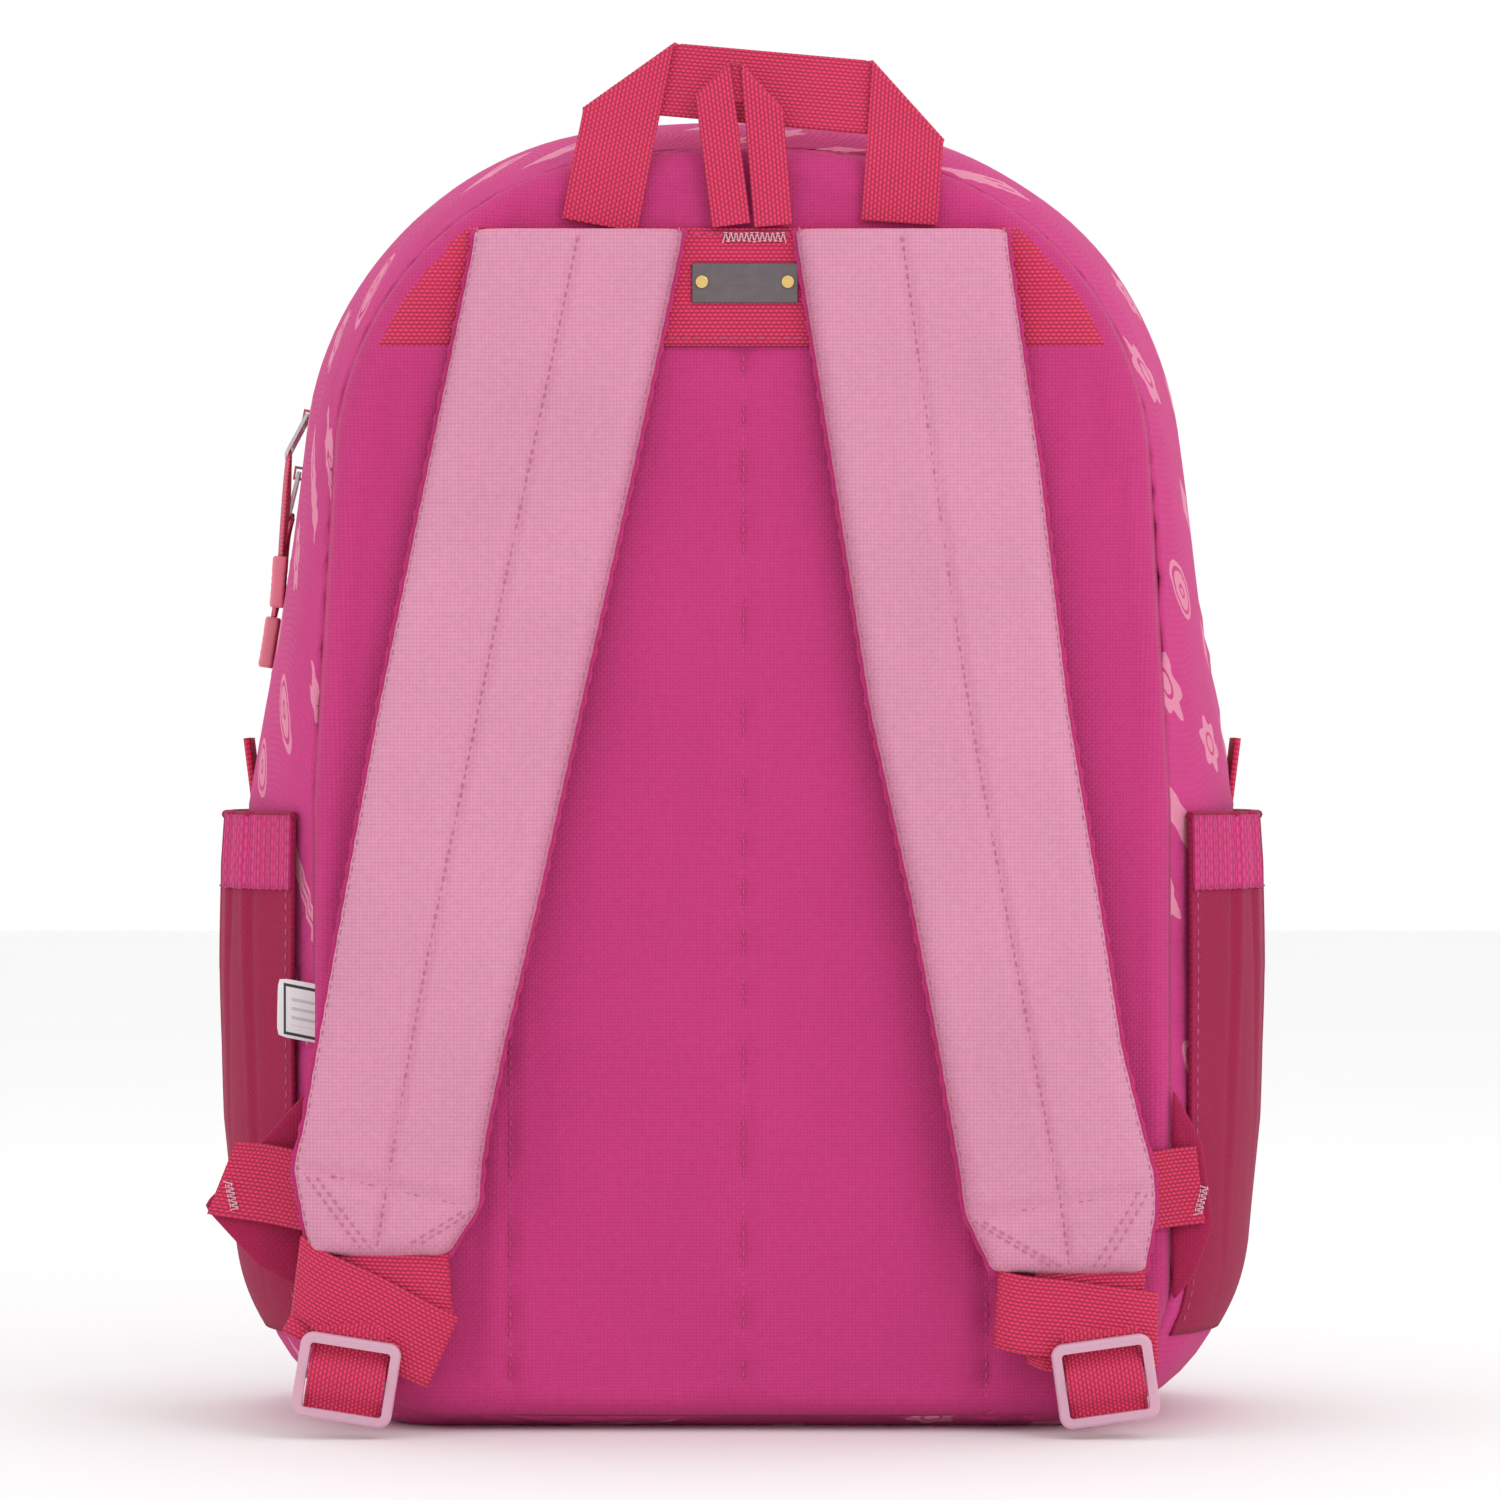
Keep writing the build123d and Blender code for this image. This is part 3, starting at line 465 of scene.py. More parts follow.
def shell(name, ys, material, seed, puckers, keep=None):
    # A skin over the outline at each of ys. puckers are short gathers: where, reach, depth, pitch.
    loops = [outline(y) for y in ys]
    points = np.array([[(x, y, z) for x, z in run] for y, (run, _) in zip(ys, loops)]).transpose(1, 0, 2)
    normals = np.array([[(a, 0, b) for a, b in way] for _, way in loops]).transpose(1, 0, 2)
    uvs = np.array([[(s, y) for s in around(run)] for y, (run, _) in zip(ys, loops)]).transpose(1, 0, 2)
    swell = ripple(points, seed, 9, 0.09, shells["wave"])
    for place, reach, deep, pitch in puckers:
        fade = np.exp(-np.abs(points[..., 1] - place) / reach)
        along = uvs[:-1, :, 0]
        swell += fade * deep * np.sin(along * 2 * pi / pitch + 2.3 * np.sin(along * 61))
    flat = points[..., 2] < 0.004  # the base stays flat where it stands
    swell = np.where(flat, np.minimum(swell, 0) * 0.2, swell)
    points = points + normals * swell[..., None]
    points[..., 2] = np.maximum(points[..., 2], 0)
    mask = None if keep is None else keep(points)
    piece = grid(name, points, uvs, material, closed=True, keep=mask)
    area = sum(p.area for p in piece.data.polygons)
    thick(piece, body["wall"])
    return piece, area


shells = {
    "rear": np.linspace(-70, 8, 30) * mm,
    "front": np.linspace(8, 75, 28) * mm,
    "wave": 0.8 * mm,
    "gather": [(-70 * mm, 9 * mm, 0.0007, 17 * mm), (8 * mm, 6 * mm, 0.0004, 13 * mm)],
    "frontGather": [(75 * mm, 9 * mm, 0.0007, 19 * mm), (32 * mm, 6 * mm, 0.0004, 12 * mm)],
}
rearGusset, rearArea = shell("rearGusset", shells["rear"], paint["gusset"], 3, shells["gather"])
wears(rearGusset, "bag", "shell_fabric", "rear_gusset")


def besideZip(points):
    middle = (points[:, :-1] + points[:, 1:]) / 2
    return ~((middle[..., 1] < 31.5 * mm) & (middle[..., 2] > body["fold"]))


frontGusset, frontArea = shell("frontGusset", shells["front"], paint["gusset"], 5, shells["frontGather"],
                               keep=besideZip)
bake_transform(frontGusset)
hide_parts("front_gusset_lower", "front_gusset_upper", "bottom_panel")
print("gussets made")


# Padded back and front panel.
def nearest(points, line):  # distance from each x, z point to a closed line
    gap = np.full(len(points), 1e9)
    for start in range(0, len(line), 40):
        away = points[:, None, :] - line[None, start:start + 40, :]
        gap = np.minimum(gap, np.sqrt((away**2).sum(axis=2)).min(axis=1))
    return gap


def panelMesh(name, seamY, faceY, columns, rows, height, material):
    # A face that fills the arch at seamY and rises to faceY. height gives the rise from x, z and
    # the distance to the edge.
    run, _ = outline(seamY, 3)
    low, high = run[:, 1].min(), run[:, 1].max()
    right = run[: len(run) // 2 + 1]
    levels = low + (high - low) * (1 - np.cos(np.linspace(0, pi, rows))) / 2
    levels = 0.65 * levels + 0.35 * np.linspace(low, high, rows)
    levels[0], levels[-1] = low + 0.02 * mm, high - 0.02 * mm
    side = right[(right[:, 0] > 1e-5)]
    side = side[np.argsort(side[:, 1])]
    half = np.interp(levels, side[:, 1], side[:, 0])
    half[-1] = 0.5 * mm
    across = np.sin(np.linspace(-pi / 2, pi / 2, columns)) * 0.35 + np.linspace(-1, 1, columns) * 0.65
    x, z = half[:, None] * across[None, :], np.repeat(levels[:, None], columns, axis=1)
    flat = np.stack([x, z], axis=-1).reshape(-1, 2)
    gap = nearest(flat, outline(seamY, 6)[0]).reshape(x.shape)
    gap[0], gap[-1], gap[:, 0], gap[:, -1] = 0, 0, 0, 0
    points = np.stack([x, seamY + (faceY - seamY) * height(x, z, gap), z], axis=-1)
    return grid(name, points, np.stack([x, z], axis=-1), material, reverse=faceY > seamY), points


backPad = {
    "face": -79.7 * mm, "edge": 11 * mm, "seams": (-74 * mm, 0.5 * mm, 78 * mm),
    "grooveWide": 3.2 * mm, "grooveDeep": 0.30, "channelCrown": 0.10, "pressure": 2.2, "cap": 2.2 * mm,
    "columns": 96, "rows": 130,
}


def backHeight(x, z, gap):
    t = np.clip(gap / backPad["edge"], 0, 1)
    rise = np.sqrt(np.clip(1 - (1 - t) ** 2.4, 0, 1)) * 0.9
    bounds = [-0.14, *backPad["seams"], 0.14]
    for left, right in zip(bounds, bounds[1:]):
        inside = (x >= left) & (x <= right)
        crown = np.sin(np.clip((x - left) / (right - left), 0, 1) * pi) ** 0.7
        rise += inside * crown * backPad["channelCrown"] * t
    for seam in backPad["seams"]:
        groove = np.exp(-((x - seam) / backPad["grooveWide"]) ** 2)
        gather = 1 + 0.35 * np.sin(z * 2 * pi / 0.021 + 3 * np.sin(z * 37))
        rise -= groove * backPad["grooveDeep"] * t * gather * 0.7
    underBand = np.clip((z - 0.335) / 0.012, 0, 1) * np.clip((0.096 - np.abs(x)) / 0.02, 0, 1)
    rise = rise * (1 - 0.16 * underBand)
    spread = np.stack([x, 0 * x, z], axis=-1)
    return rise + ripple(spread, 11, 8, 0.07, 0.04) * t * (1 - 0.8 * underBand)


backCover, backPoints = panelMesh("backPanelCover", -70 * mm, backPad["face"], backPad["columns"],
                                  backPad["rows"], backHeight, paint["panel"])
flatX = backPoints[..., 0].ravel()
seamed = np.zeros(len(flatX), bool)
for seam in backPad["seams"]:
    seamed |= np.abs(flatX - seam) < 1.6 * mm
rim = np.zeros(backPoints.shape[:2], bool)
rim[:2] = rim[-2:] = True
rim[:, :2] = rim[:, -2:] = True
rim |= (backPoints[..., 2] > 343 * mm) & (backPoints[..., 2] < 389 * mm)
inflate(backCover, np.nonzero(seamed | rim.ravel())[0], backPad["pressure"], backPad["cap"])
thick(backCover, 1.6 * mm)
wears(backCover, "bag", "panel_fabric", "back_panel_cover", "back_foam")
seamZ = np.linspace(12 * mm, 343 * mm, 120)
seamY = backPad["face"] + 0.7 * mm
seamLines = [([(seam, seamY, z) for z in seamZ], (0, -1, 0)) for seam in backPad["seams"]]
print("padded back made")

frontFace = {"face": 83 * mm, "edge": 12 * mm, "columns": 64, "rows": 90}


def frontHeight(x, z, gap):
    t = np.clip(gap / frontFace["edge"], 0, 1)
    spread = np.stack([x, 0 * x, z], axis=-1)
    return np.sqrt(np.clip(1 - (1 - t) ** 2.2, 0, 1)) + ripple(spread, 17, 9, 0.11, 0.09) * t


frontPanel, _ = panelMesh("frontPanel", 75 * mm, frontFace["face"], frontFace["columns"],
                          frontFace["rows"], frontHeight, paint["gusset"])
thick(frontPanel, body["wall"])
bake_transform(frontPanel)
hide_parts("front_panel_lower", "front_panel_upper")
print("front panel made")


# Strips, folded ribbons, flaps and seams.
def strip(name, path, wides, width, wall, material):
    # Webbing along a path, with rounded edges and its width along wides.
    path, wides = np.array(path, float), np.array(wides, float)
    if wides.ndim == 1:
        wides = np.repeat(wides[None], len(path), axis=0)
    wides /= np.linalg.norm(wides, axis=1, keepdims=True)
    ways = np.gradient(path, axis=0)
    ups = np.cross(ways, wides)
    ups /= np.maximum(np.linalg.norm(ups, axis=1, keepdims=True), 1e-9)
    flat = np.linspace(-1, 1, 9)
    side = np.array([(a, 0.5) for a in flat] + [(1.0, 0.0)] + [(a, -0.5) for a in flat[::-1]] + [(-1.0, 0.0)])
    reach = side[:, 0] * 0.5
    tuck = np.where(np.abs(side[:, 0]) > 0.99, np.where(side[:, 1] == 0, 0.0, 0.35 * wall), 0.0)
    across = np.repeat((reach * width - np.sign(reach) * tuck)[:, None], len(path), axis=1)
    lift = side[:, 1][:, None] * wall
    points = path[None] + wides[None] * across[..., None] + ups[None] * lift[..., None]
    along = np.concatenate([[0], np.cumsum(np.linalg.norm(np.diff(path, axis=0), axis=1))])
    uvs = np.stack([across, np.broadcast_to(along, across.shape)], axis=-1)
    uvs = np.concatenate([uvs, uvs[:1]])
    piece = grid(name, points, uvs, material, closed=True)
    return outward(capped(piece))


def capped(piece):
    shut = bmesh.new()
    shut.from_mesh(piece.data)
    bmesh.ops.holes_fill(shut, edges=[e for e in shut.edges if e.is_boundary], sides=0)
    shut.to_mesh(piece.data)
    shut.free()
    return piece


def curveThrough(knots, count):  # a smooth run through a few points
    knots = np.array(knots, float)
    steps = np.concatenate([[0], np.cumsum(np.linalg.norm(np.diff(knots, axis=0), axis=1))])
    slopes = np.gradient(knots, steps, axis=0)
    run = []
    for s in np.linspace(0, steps[-1], count):
        i = int(np.clip(np.searchsorted(steps, s) - 1, 0, len(steps) - 2))
        wide = steps[i + 1] - steps[i]
        t = (s - steps[i]) / wide
        run.append((2 * t**3 - 3 * t**2 + 1) * knots[i] + (t**3 - 2 * t**2 + t) * wide * slopes[i]
                   + (3 * t**2 - 2 * t**3) * knots[i + 1] + (t**3 - t**2) * wide * slopes[i + 1])
    return np.array(run)


def folded(name, long, width, wall, folds, origin, along, up, material):
    # A flat ribbon, creased over at each fold: how far along, the line's slant and the radius.
    # A fold with a negative radius turns the ribbon under instead of over.
    count = int(long / 0.0005)
    s = np.linspace(0, long, count)
    u = np.linspace(-width / 2, width / 2, int(width / 0.0009))
    flatS, flatU = np.meshgrid(s, u, indexing="ij")
    layers = []
    for side in (wall / 2, -wall / 2):
        points = np.stack([flatS, flatU, np.full_like(flatS, side)], axis=-1)
        for place, slant, radius in reversed(folds):
            turn = radians(slant)
            normal = np.array([cos(turn), -sin(turn)])
            away = (points[..., 0] - place) * normal[0] + points[..., 1] * normal[1]
            sign = 1 if radius > 0 else -1
            radius = abs(radius)
            angle = np.clip(away / radius, 0, pi)
            slid = np.maximum(away - pi * radius, 0)
            height = radius - points[..., 2] * sign
            newAway = np.where(away < 0, away, height * np.sin(angle) - slid)
            newUp = np.where(away < 0, points[..., 2] * sign, radius - height * np.cos(angle))
            shift = newAway - away
            points[..., 0] += shift * normal[0]
            points[..., 1] += shift * normal[1]
            points[..., 2] = newUp * sign
        layers.append(points)
    ring = np.concatenate([layers[0], layers[1][:, ::-1]], axis=1).transpose(1, 0, 2)
    along, up = np.array(along, float), np.array(up, float)
    along /= np.linalg.norm(along)
    up -= along * (up @ along)
    up /= np.linalg.norm(up)
    across = np.cross(up, along)
    world = np.array(origin) + ring[..., :1] * along + ring[..., 1:2] * across + ring[..., 2:] * up
    wide = np.concatenate([u, u[::-1], u[:1]])
    uvs = np.stack(np.meshgrid(wide, s, indexing="ij"), axis=-1)
    return outward(capped(grid(name, world, uvs, material, closed=True)))


def flap(name, corners, wall, material, rings=7, step=0.0025, rounding=0.6):
    # A thin closed piece inside a closed run of 3-D corners, thick in the middle and rolled at the edge.
    corners = np.array(corners, float)
    run = []
    for a, b in zip(corners, np.roll(corners, -1, axis=0)):
        count = max(2, int(np.linalg.norm(b - a) / step))
        run.extend(a + (b - a) * t for t in np.linspace(0, 1, count, endpoint=False))
    run = np.array(run)
    for _ in range(3):
        beside = np.roll(run, 1, axis=0) + np.roll(run, -1, axis=0)
        run = run * (1 - rounding * 0.5) + beside * rounding * 0.25
    middle = run.mean(axis=0)
    normal = np.zeros(3)
    for a, b in zip(run, np.roll(run, -1, axis=0)):
        normal += np.cross(a - middle, b - middle)
    normal /= np.linalg.norm(normal)
    t = np.linspace(-1, 1, rings * 2 + 1)
    radial = np.where(np.abs(t) > 0.999, 0.0, 1 - np.abs(t) ** 2.2)
    height = np.sign(t) * (np.abs(t) ** 0.5) * wall / 2
    points = middle + (run - middle)[:, None, :] * radial[None, :, None] + normal * height[None, :, None]
    flatX = np.array([1.0, 0, 0]) - normal * normal[0]
    flatX = flatX / np.linalg.norm(flatX) if np.linalg.norm(flatX) > 0.2 else np.array([0, 1.0, 0])
    flatZ = np.cross(normal, flatX)
    uvs = np.stack([points @ flatX, points @ flatZ], axis=-1)
    uvs = np.concatenate([uvs, uvs[:1]])
    piece = grid(name, points, uvs, material, closed=True)
    return welded(piece)


def welded(piece, gap=1e-6):
    tidy = bmesh.new()
    tidy.from_mesh(piece.data)
    bmesh.ops.remove_doubles(tidy, verts=tidy.verts, dist=gap)
    bmesh.ops.recalc_face_normals(tidy, faces=tidy.faces)
    tidy.to_mesh(piece.data)
    tidy.free()
    return piece


def tube(name, path, radius, material, closed=False, sides=10):  # a round cord along a path
    path = np.array(path, float)
    after = np.roll(path, -1, axis=0) if closed else np.gradient(path, axis=0) + path
    ways = after - (np.roll(path, 1, axis=0) if closed else path)
    ways /= np.linalg.norm(ways, axis=1, keepdims=True)
    first = np.cross(ways, (0.0, 1.0, 0.0))
    first /= np.maximum(np.linalg.norm(first, axis=1, keepdims=True), 1e-9)
    second = np.cross(first, ways)
    angles = np.linspace(0, 2 * pi, sides, endpoint=False)
    ring = (np.cos(angles)[None, :, None] * first[:, None]
            + np.sin(angles)[None, :, None] * second[:, None]) * radius
    points = path[:, None] + ring
    points = np.concatenate([points, points[:, :1]], axis=1)
    along = around(path) if closed else around(path)[:-1]
    turn = np.append(angles, 2 * pi) * radius
    uvs = np.stack(np.meshgrid(along, turn, indexing="ij"), axis=-1)[..., ::-1]
    piece = welded(grid(name, points, uvs, material, closed=closed))
    return piece if closed else outward(capped(piece))


# Stitches and zip coil by geometry nodes.
def repeatTree(name, segments, rings):
    # Beads along a line: one long bead at each step, turned along the line and stood by "up".
    tree = bpy.data.node_groups.new(name, "GeometryNodeTree")
    face = tree.interface
    face.new_socket(name="Line", in_out="INPUT", socket_type="NodeSocketGeometry")
    for label in ("Step", "Long", "Wide", "High", "Wander"):
        face.new_socket(name=label, in_out="INPUT", socket_type="NodeSocketFloat")
    face.new_socket(name="Seed", in_out="INPUT", socket_type="NodeSocketInt")
    face.new_socket(name="Finish", in_out="INPUT", socket_type="NodeSocketMaterial")
    face.new_socket(name="Beads", in_out="OUTPUT", socket_type="NodeSocketGeometry")

    def node(kind, **settings):
        made = tree.nodes.new(kind)
        for key, value in settings.items():
            setattr(made, key, value)
        return made

    def link(start, out, end, into):
        tree.links.new(start.outputs[out], end.inputs[into])

    given, result = node("NodeGroupInput"), node("NodeGroupOutput")
    curve = node("GeometryNodeMeshToCurve")
    even = node("GeometryNodeResampleCurve", mode="LENGTH")
    spots = node("GeometryNodeInstanceOnPoints")
    bead = node("GeometryNodeMeshUVSphere")
    bead.inputs["Segments"].default_value, bead.inputs["Rings"].default_value = segments, rings
    tangent = node("GeometryNodeInputTangent")
    upward = node("GeometryNodeInputNamedAttribute", data_type="FLOAT_VECTOR")
    upward.inputs["Name"].default_value = "up"
    turn = node("FunctionNodeAxesToRotation", primary_axis="X", secondary_axis="Z")
    size = node("ShaderNodeCombineXYZ")
    halves = [node("ShaderNodeMath", operation="MULTIPLY") for _ in range(3)]
    chance = node("FunctionNodeRandomValue", data_type="FLOAT")
    low = node("ShaderNodeMath", operation="SUBTRACT")
    low.inputs[0].default_value = 1.0
    high = node("ShaderNodeMath", operation="ADD")
    high.inputs[0].default_value = 1.0
    grown = node("ShaderNodeVectorMath", operation="SCALE")
    whole = node("GeometryNodeRealizeInstances")
    smooth = node("GeometryNodeSetShadeSmooth")
    finish = node("GeometryNodeSetMaterial")
    link(given, "Line", curve, "Mesh")
    link(curve, "Curve", even, "Curve")
    link(given, "Step", even, "Length")
    link(even, "Curve", spots, "Points")
    link(bead, "Mesh", spots, "Instance")
    link(tangent, "Tangent", turn, "Primary Axis")
    link(upward, "Attribute", turn, "Secondary Axis")
    link(turn, "Rotation", spots, "Rotation")
    for half, label, axis in zip(halves, ("Long", "Wide", "High"), "XYZ"):
        half.inputs[1].default_value = 0.5
        link(given, label, half, 0)
        link(half, 0, size, axis)
    link(given, "Wander", low, 1)
    link(given, "Wander", high, 1)
    tree.links.new(low.outputs[0], chance.inputs[2])
    tree.links.new(high.outputs[0], chance.inputs[3])
    link(given, "Seed", chance, "Seed")
    tree.links.new(chance.outputs[1], grown.inputs["Scale"])
    link(size, "Vector", grown, 0)
    link(grown, "Vector", spots, "Scale")
    link(spots, "Instances", whole, "Geometry")
    link(whole, "Geometry", smooth, "Geometry")
    link(smooth, "Geometry", finish, "Geometry")
    link(given, "Finish", finish, "Material")
    link(finish, "Geometry", result, "Beads")
    return tree


beadTree = repeatTree("beadsAlongLine", 6, 4)
threads = {"step": 4.0 * mm, "long": 2.9 * mm, "wide": 0.75 * mm, "high": 0.55 * mm}


def beads(name, lines, material, step=None, long=None, wide=None, high=None, wander=0.08, seed=1):
    # lines is a list of (points, up). up is one direction or one for each point.
    points, edges, ups = [], [], []
    for run, up in lines:
        run = np.array(run, float)
        up = np.broadcast_to(np.array(up, float), run.shape)
        start = len(points)
        points.extend(run)
        ups.extend(up)
        edges.extend((start + i, start + i + 1) for i in range(len(run) - 1))
    data = bpy.data.meshes.new(name)
    data.from_pydata([tuple(p) for p in points], edges, [])
    data.attributes.new("up", "FLOAT_VECTOR", "POINT").data.foreach_set("vector", np.ravel(ups))
    piece = bpy.data.objects.new(name, data)
    bpy.context.collection.objects.link(piece)
    made = modify(piece, "NODES", node_group=beadTree)
    values = {"Step": step or threads["step"], "Long": long or threads["long"],
              "Wide": wide or threads["wide"], "High": high or threads["high"],
              "Wander": wander, "Seed": seed, "Finish": material}
    for item in beadTree.interface.items_tree:
        if item.in_out == "INPUT" and item.name in values:
            made[item.identifier] = values[item.name]
    piece.update_tag()
    return settle(piece)


def archRun(y, out, low=-1.0, fine=2):  # the outline at y as 3-D points above a height, with outward ways
    run, way = outline(y, fine)
    run = run + way * out
    run[:, 1] = np.maximum(run[:, 1], 0.4 * mm)
    if low > 0:
        keep = run[:, 1] > low
        run, way = run[keep], way[keep]
    else:
        run, way = np.vstack([run, run[:1]]), np.vstack([way, way[:1]])
    return np.insert(run, 1, y, axis=1), np.insert(way, 1, 0.0, axis=1)


rearLines = [archRun(-64 * mm, 0.3 * mm), archRun(3.5 * mm, 0.35 * mm)]
wears(beads("rearSeamStitches", rearLines, paint["thread"]), "bag", "shell_fabric")

frontLines = [archRun(70 * mm, 0.35 * mm), archRun(36 * mm, 0.35 * mm)]
frontSeam = beads("frontSeamStitches", frontLines, paint["thread"], seed=2)
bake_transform(frontSeam)

rollRadius = 2.0 * mm
rearRun, frontRun = archRun(-70.5 * mm, -0.4 * mm)[0][:-1], archRun(75.5 * mm, -0.4 * mm)[0][:-1]
rearRoll = tube("backSeamBinding", rearRun, rollRadius, paint["panel"], closed=True)
wears(rearRoll, "bag", "panel_fabric")
frontRoll = tube("frontSeamBinding", frontRun, rollRadius, paint["gusset"], closed=True)
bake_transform(frontRoll)
print("seams and stitches made")


# Main zip.
zipper = {
    "low": 200.4 * mm, "tape": [(8.2 * mm, 17.6 * mm), (22.4 * mm, 31.8 * mm)], "tapeOut": -0.5 * mm,
    "coilAt": (18.5 * mm, 21.5 * mm), "coilOut": -0.55 * mm, "pitch": 1.45 * mm,
    "toothLong": 1.15 * mm, "toothWide": 3.0 * mm,
}


def zipTape(name, y0, y1, body, slot, *nodes):
    depth = np.linspace(y0, y1, 5)
    run, _ = archRun((y0 + y1) / 2, zipper["tapeOut"], zipper["low"])
    points = np.repeat(run[:, None, :], 5, axis=1)
    points[..., 1] = depth[None]
    along = around(run)[: len(run)]
    uvs = np.stack(np.meshgrid(along, depth, indexing="ij"), axis=-1)
    tape = thick(grid(name, points, uvs, paint["tape"]), 0.8 * mm, 0.0)
    return wears(tape, body, slot, *nodes)


for half, wearer, (y0, y1), y in zip(("rear", "front"), ("bag", "front"), zipper["tape"], zipper["coilAt"]):
    zipTape(f"{half}ZipTape", y0, y1, wearer, "zip_tape", f"zip_tape_{half}")
    run, way = archRun(y, zipper["coilOut"], zipper["low"])
    teeth = beads(f"{half}ZipCoil", [(run, way)], paint["coil"], zipper["pitch"], zipper["toothLong"],
                  zipper["toothWide"], 1.9 * mm, wander=0.0)
    wears(teeth, wearer, "zip_coil", f"zip_coil_{half}")
print("main zip made")


# Band, handle and hang loop on the back.
band = {"z": (347 * mm, 384.6 * mm), "y": -80.8 * mm, "left": -80 * mm, "right": 80 * mm}
seamRun = outline(-70 * mm, 3)[0]


def panelFace(x, z):  # the padded back's own surface
    gap = nearest(np.stack([x, z], axis=-1).reshape(-1, 2), seamRun).reshape(x.shape)
    return -70 * mm + (backPad["face"] + 70 * mm) * backHeight(x, z, gap)


bandZ = np.linspace(*band["z"], 18)
bandX = np.empty((18, 90))
for row, z in enumerate(bandZ):
    near = seamRun[(np.abs(seamRun[:, 1] - z) < 3 * mm) & (seamRun[:, 0] > 0)]
    near = near[np.argsort(near[:, 1])]
    bandX[row] = (np.interp(z, near[:, 1], near[:, 0]) - 0.8 * mm) * np.linspace(-1, 1, 90)
flatZ = np.repeat(bandZ[:, None], 90, axis=1)
bandY = np.minimum(panelFace(bandX, flatZ) - 1.1 * mm, np.where(np.abs(bandX) < 84 * mm, band["y"], 0))
bandUv = np.stack([flatZ, bandX], axis=-1)
backBand = thick(grid("webbingBand", np.stack([bandX, bandY, flatZ], axis=-1), bandUv, paint["webbing"]),
                 1.3 * mm, 0.0)
wears(backBand, "bag", "webbing", "webbing_band")
bandLines = [([(x, band["y"] - 0.75 * mm, z) for x in np.linspace(band["left"], band["right"], 40)],
              (0, -1, 0)) for z in (349.5 * mm, 382.5 * mm)]
wears(beads("bandStitches", bandLines, paint["thread"]), "bag", "webbing")
wears(beads("channelStitches", seamLines, paint["thread"], 3.2 * mm, 2.2 * mm), "bag", "panel_fabric")


def tack(name, middle, long, high, turns, along=(1, 0, 0), up=(0, 0, 1)):  # thread that zigzags along a line
    middle, along, up = np.array(middle), np.array(along, float), np.array(up, float)
    run = [middle + along * long * (t / turns - 0.5) + up * high * (0.5 if t % 2 else -0.5)
           for t in range(turns + 1)]
    piece = beads(name, [(run, (0, -1, 0))], paint["tackThread"], 1.0 * mm, 1.5 * mm, 0.5 * mm, 0.5 * mm)
    wears(piece, "bag", "webbing")


tack("hangLoopTack", (4 * mm, -82.2 * mm, 381.6 * mm), 20 * mm, 3.0 * mm, 24)

handle = {
    "wide": 24.4 * mm, "wall": 1.5 * mm, "long": 181.5 * mm, "turn": radians(10.6),
    "foot": (-45.4 * mm, -82 * mm, 385.3 * mm),
    "folds": [(48.8 * mm, -47.6, -0.95 * mm), (138.4 * mm, 45.7, -0.95 * mm)],
}


def leanBack(piece, low=402 * mm, angle=radians(14), y=-82 * mm):  # everything above low leans to +Y
    for vertex in piece.data.vertices:
        over = vertex.co.z - low
        if over > 0:
            ease = min(1.0, over / 0.012)
            turn = angle * ease
            off = vertex.co.y - y
            vertex.co.y = y + off * cos(turn) + over * sin(turn)
            vertex.co.z = low + over * cos(turn) - off * sin(turn)
    return piece


def foldedWebbing(name, plan):
    along = (sin(plan["turn"]), 0, cos(plan["turn"]))
    return folded(name, plan["long"], plan["wide"], plan["wall"], plan["folds"], plan["foot"], along,
                  (0, -1, 0), paint["webbing"])


wears(leanBack(foldedWebbing("haulHandle", handle)), "haul_handle", "webbing", "haul_handle")

loop = {
    "wide": 12.4 * mm, "wall": 1.3 * mm, "long": 107.5 * mm, "turn": radians(-7.2),
    "foot": (-3.4 * mm, -83.3 * mm, 385.3 * mm),
    "folds": [(45.6 * mm, -37.1, -0.75 * mm), (61.0 * mm, 51.7, -0.75 * mm)],
}
wears(foldedWebbing("hangLoop", loop), "hang_loop", "webbing", "hang_loop")
print("webbing on the back made")


# Shoulder straps.
straps = {  # rows give the edges by height, all in mm
    "left": {
        "rows": [(384, -84.5, -18.5), (308, -100.0, -34.5), (231, -115.5, -51.5), (170, -126.5, -64.8),
                 (123, -134.9, -75.8), (98, -139.2, -80.8), (87.5, -141.9, -82.4), (84, -142.0, -82.7),
                 (73, -139.9, -83.4), (71, -139.6, -84.6), (57, -136.9, -93.8)],
        "centre": [(-51.5, 384), (-83.5, 231), (-105.0, 123), (-112.4, 79), (-115.3, 62)],
        "cross": ((-140.6, 85.6), (-84.0, 73.0)), "meet": (-112, 58), "seed": 23,
    },
    "right": {
        "rows": [(384, 17.0, 84.0), (308, 29.0, 95.0), (231, 40.8, 103.8), (170, 54.0, 113.6),
                 (123, 62.6, 120.7), (98, 66.8, 126.8), (83, 69.4, 130.9), (72, 70.6, 131.3),
                 (70, 71.2, 131.1), (51.5, 80.0, 127.6)],
        "centre": [(50.5, 384), (72.3, 231), (92.0, 123), (100.5, 77), (103.5, 56)],
        "cross": ((72.0, 70.0), (130.0, 78.4)), "meet": (106, 52), "seed": 29,
    },
}
pad = {"high": 8.4 * mm, "groove": 0.34, "rows": 120, "columns": 54, "pressure": 1.6, "cap": 1.6 * mm,
       "scallop": 0.35 * mm, "scallopPitch": 7.5 * mm, "underside": 1.3 * mm}


def strapBack(z):  # the straps hang two degrees off the back
    return -81.9 * mm - (384 * mm - z) * sin(radians(2)) / cos(radians(2))


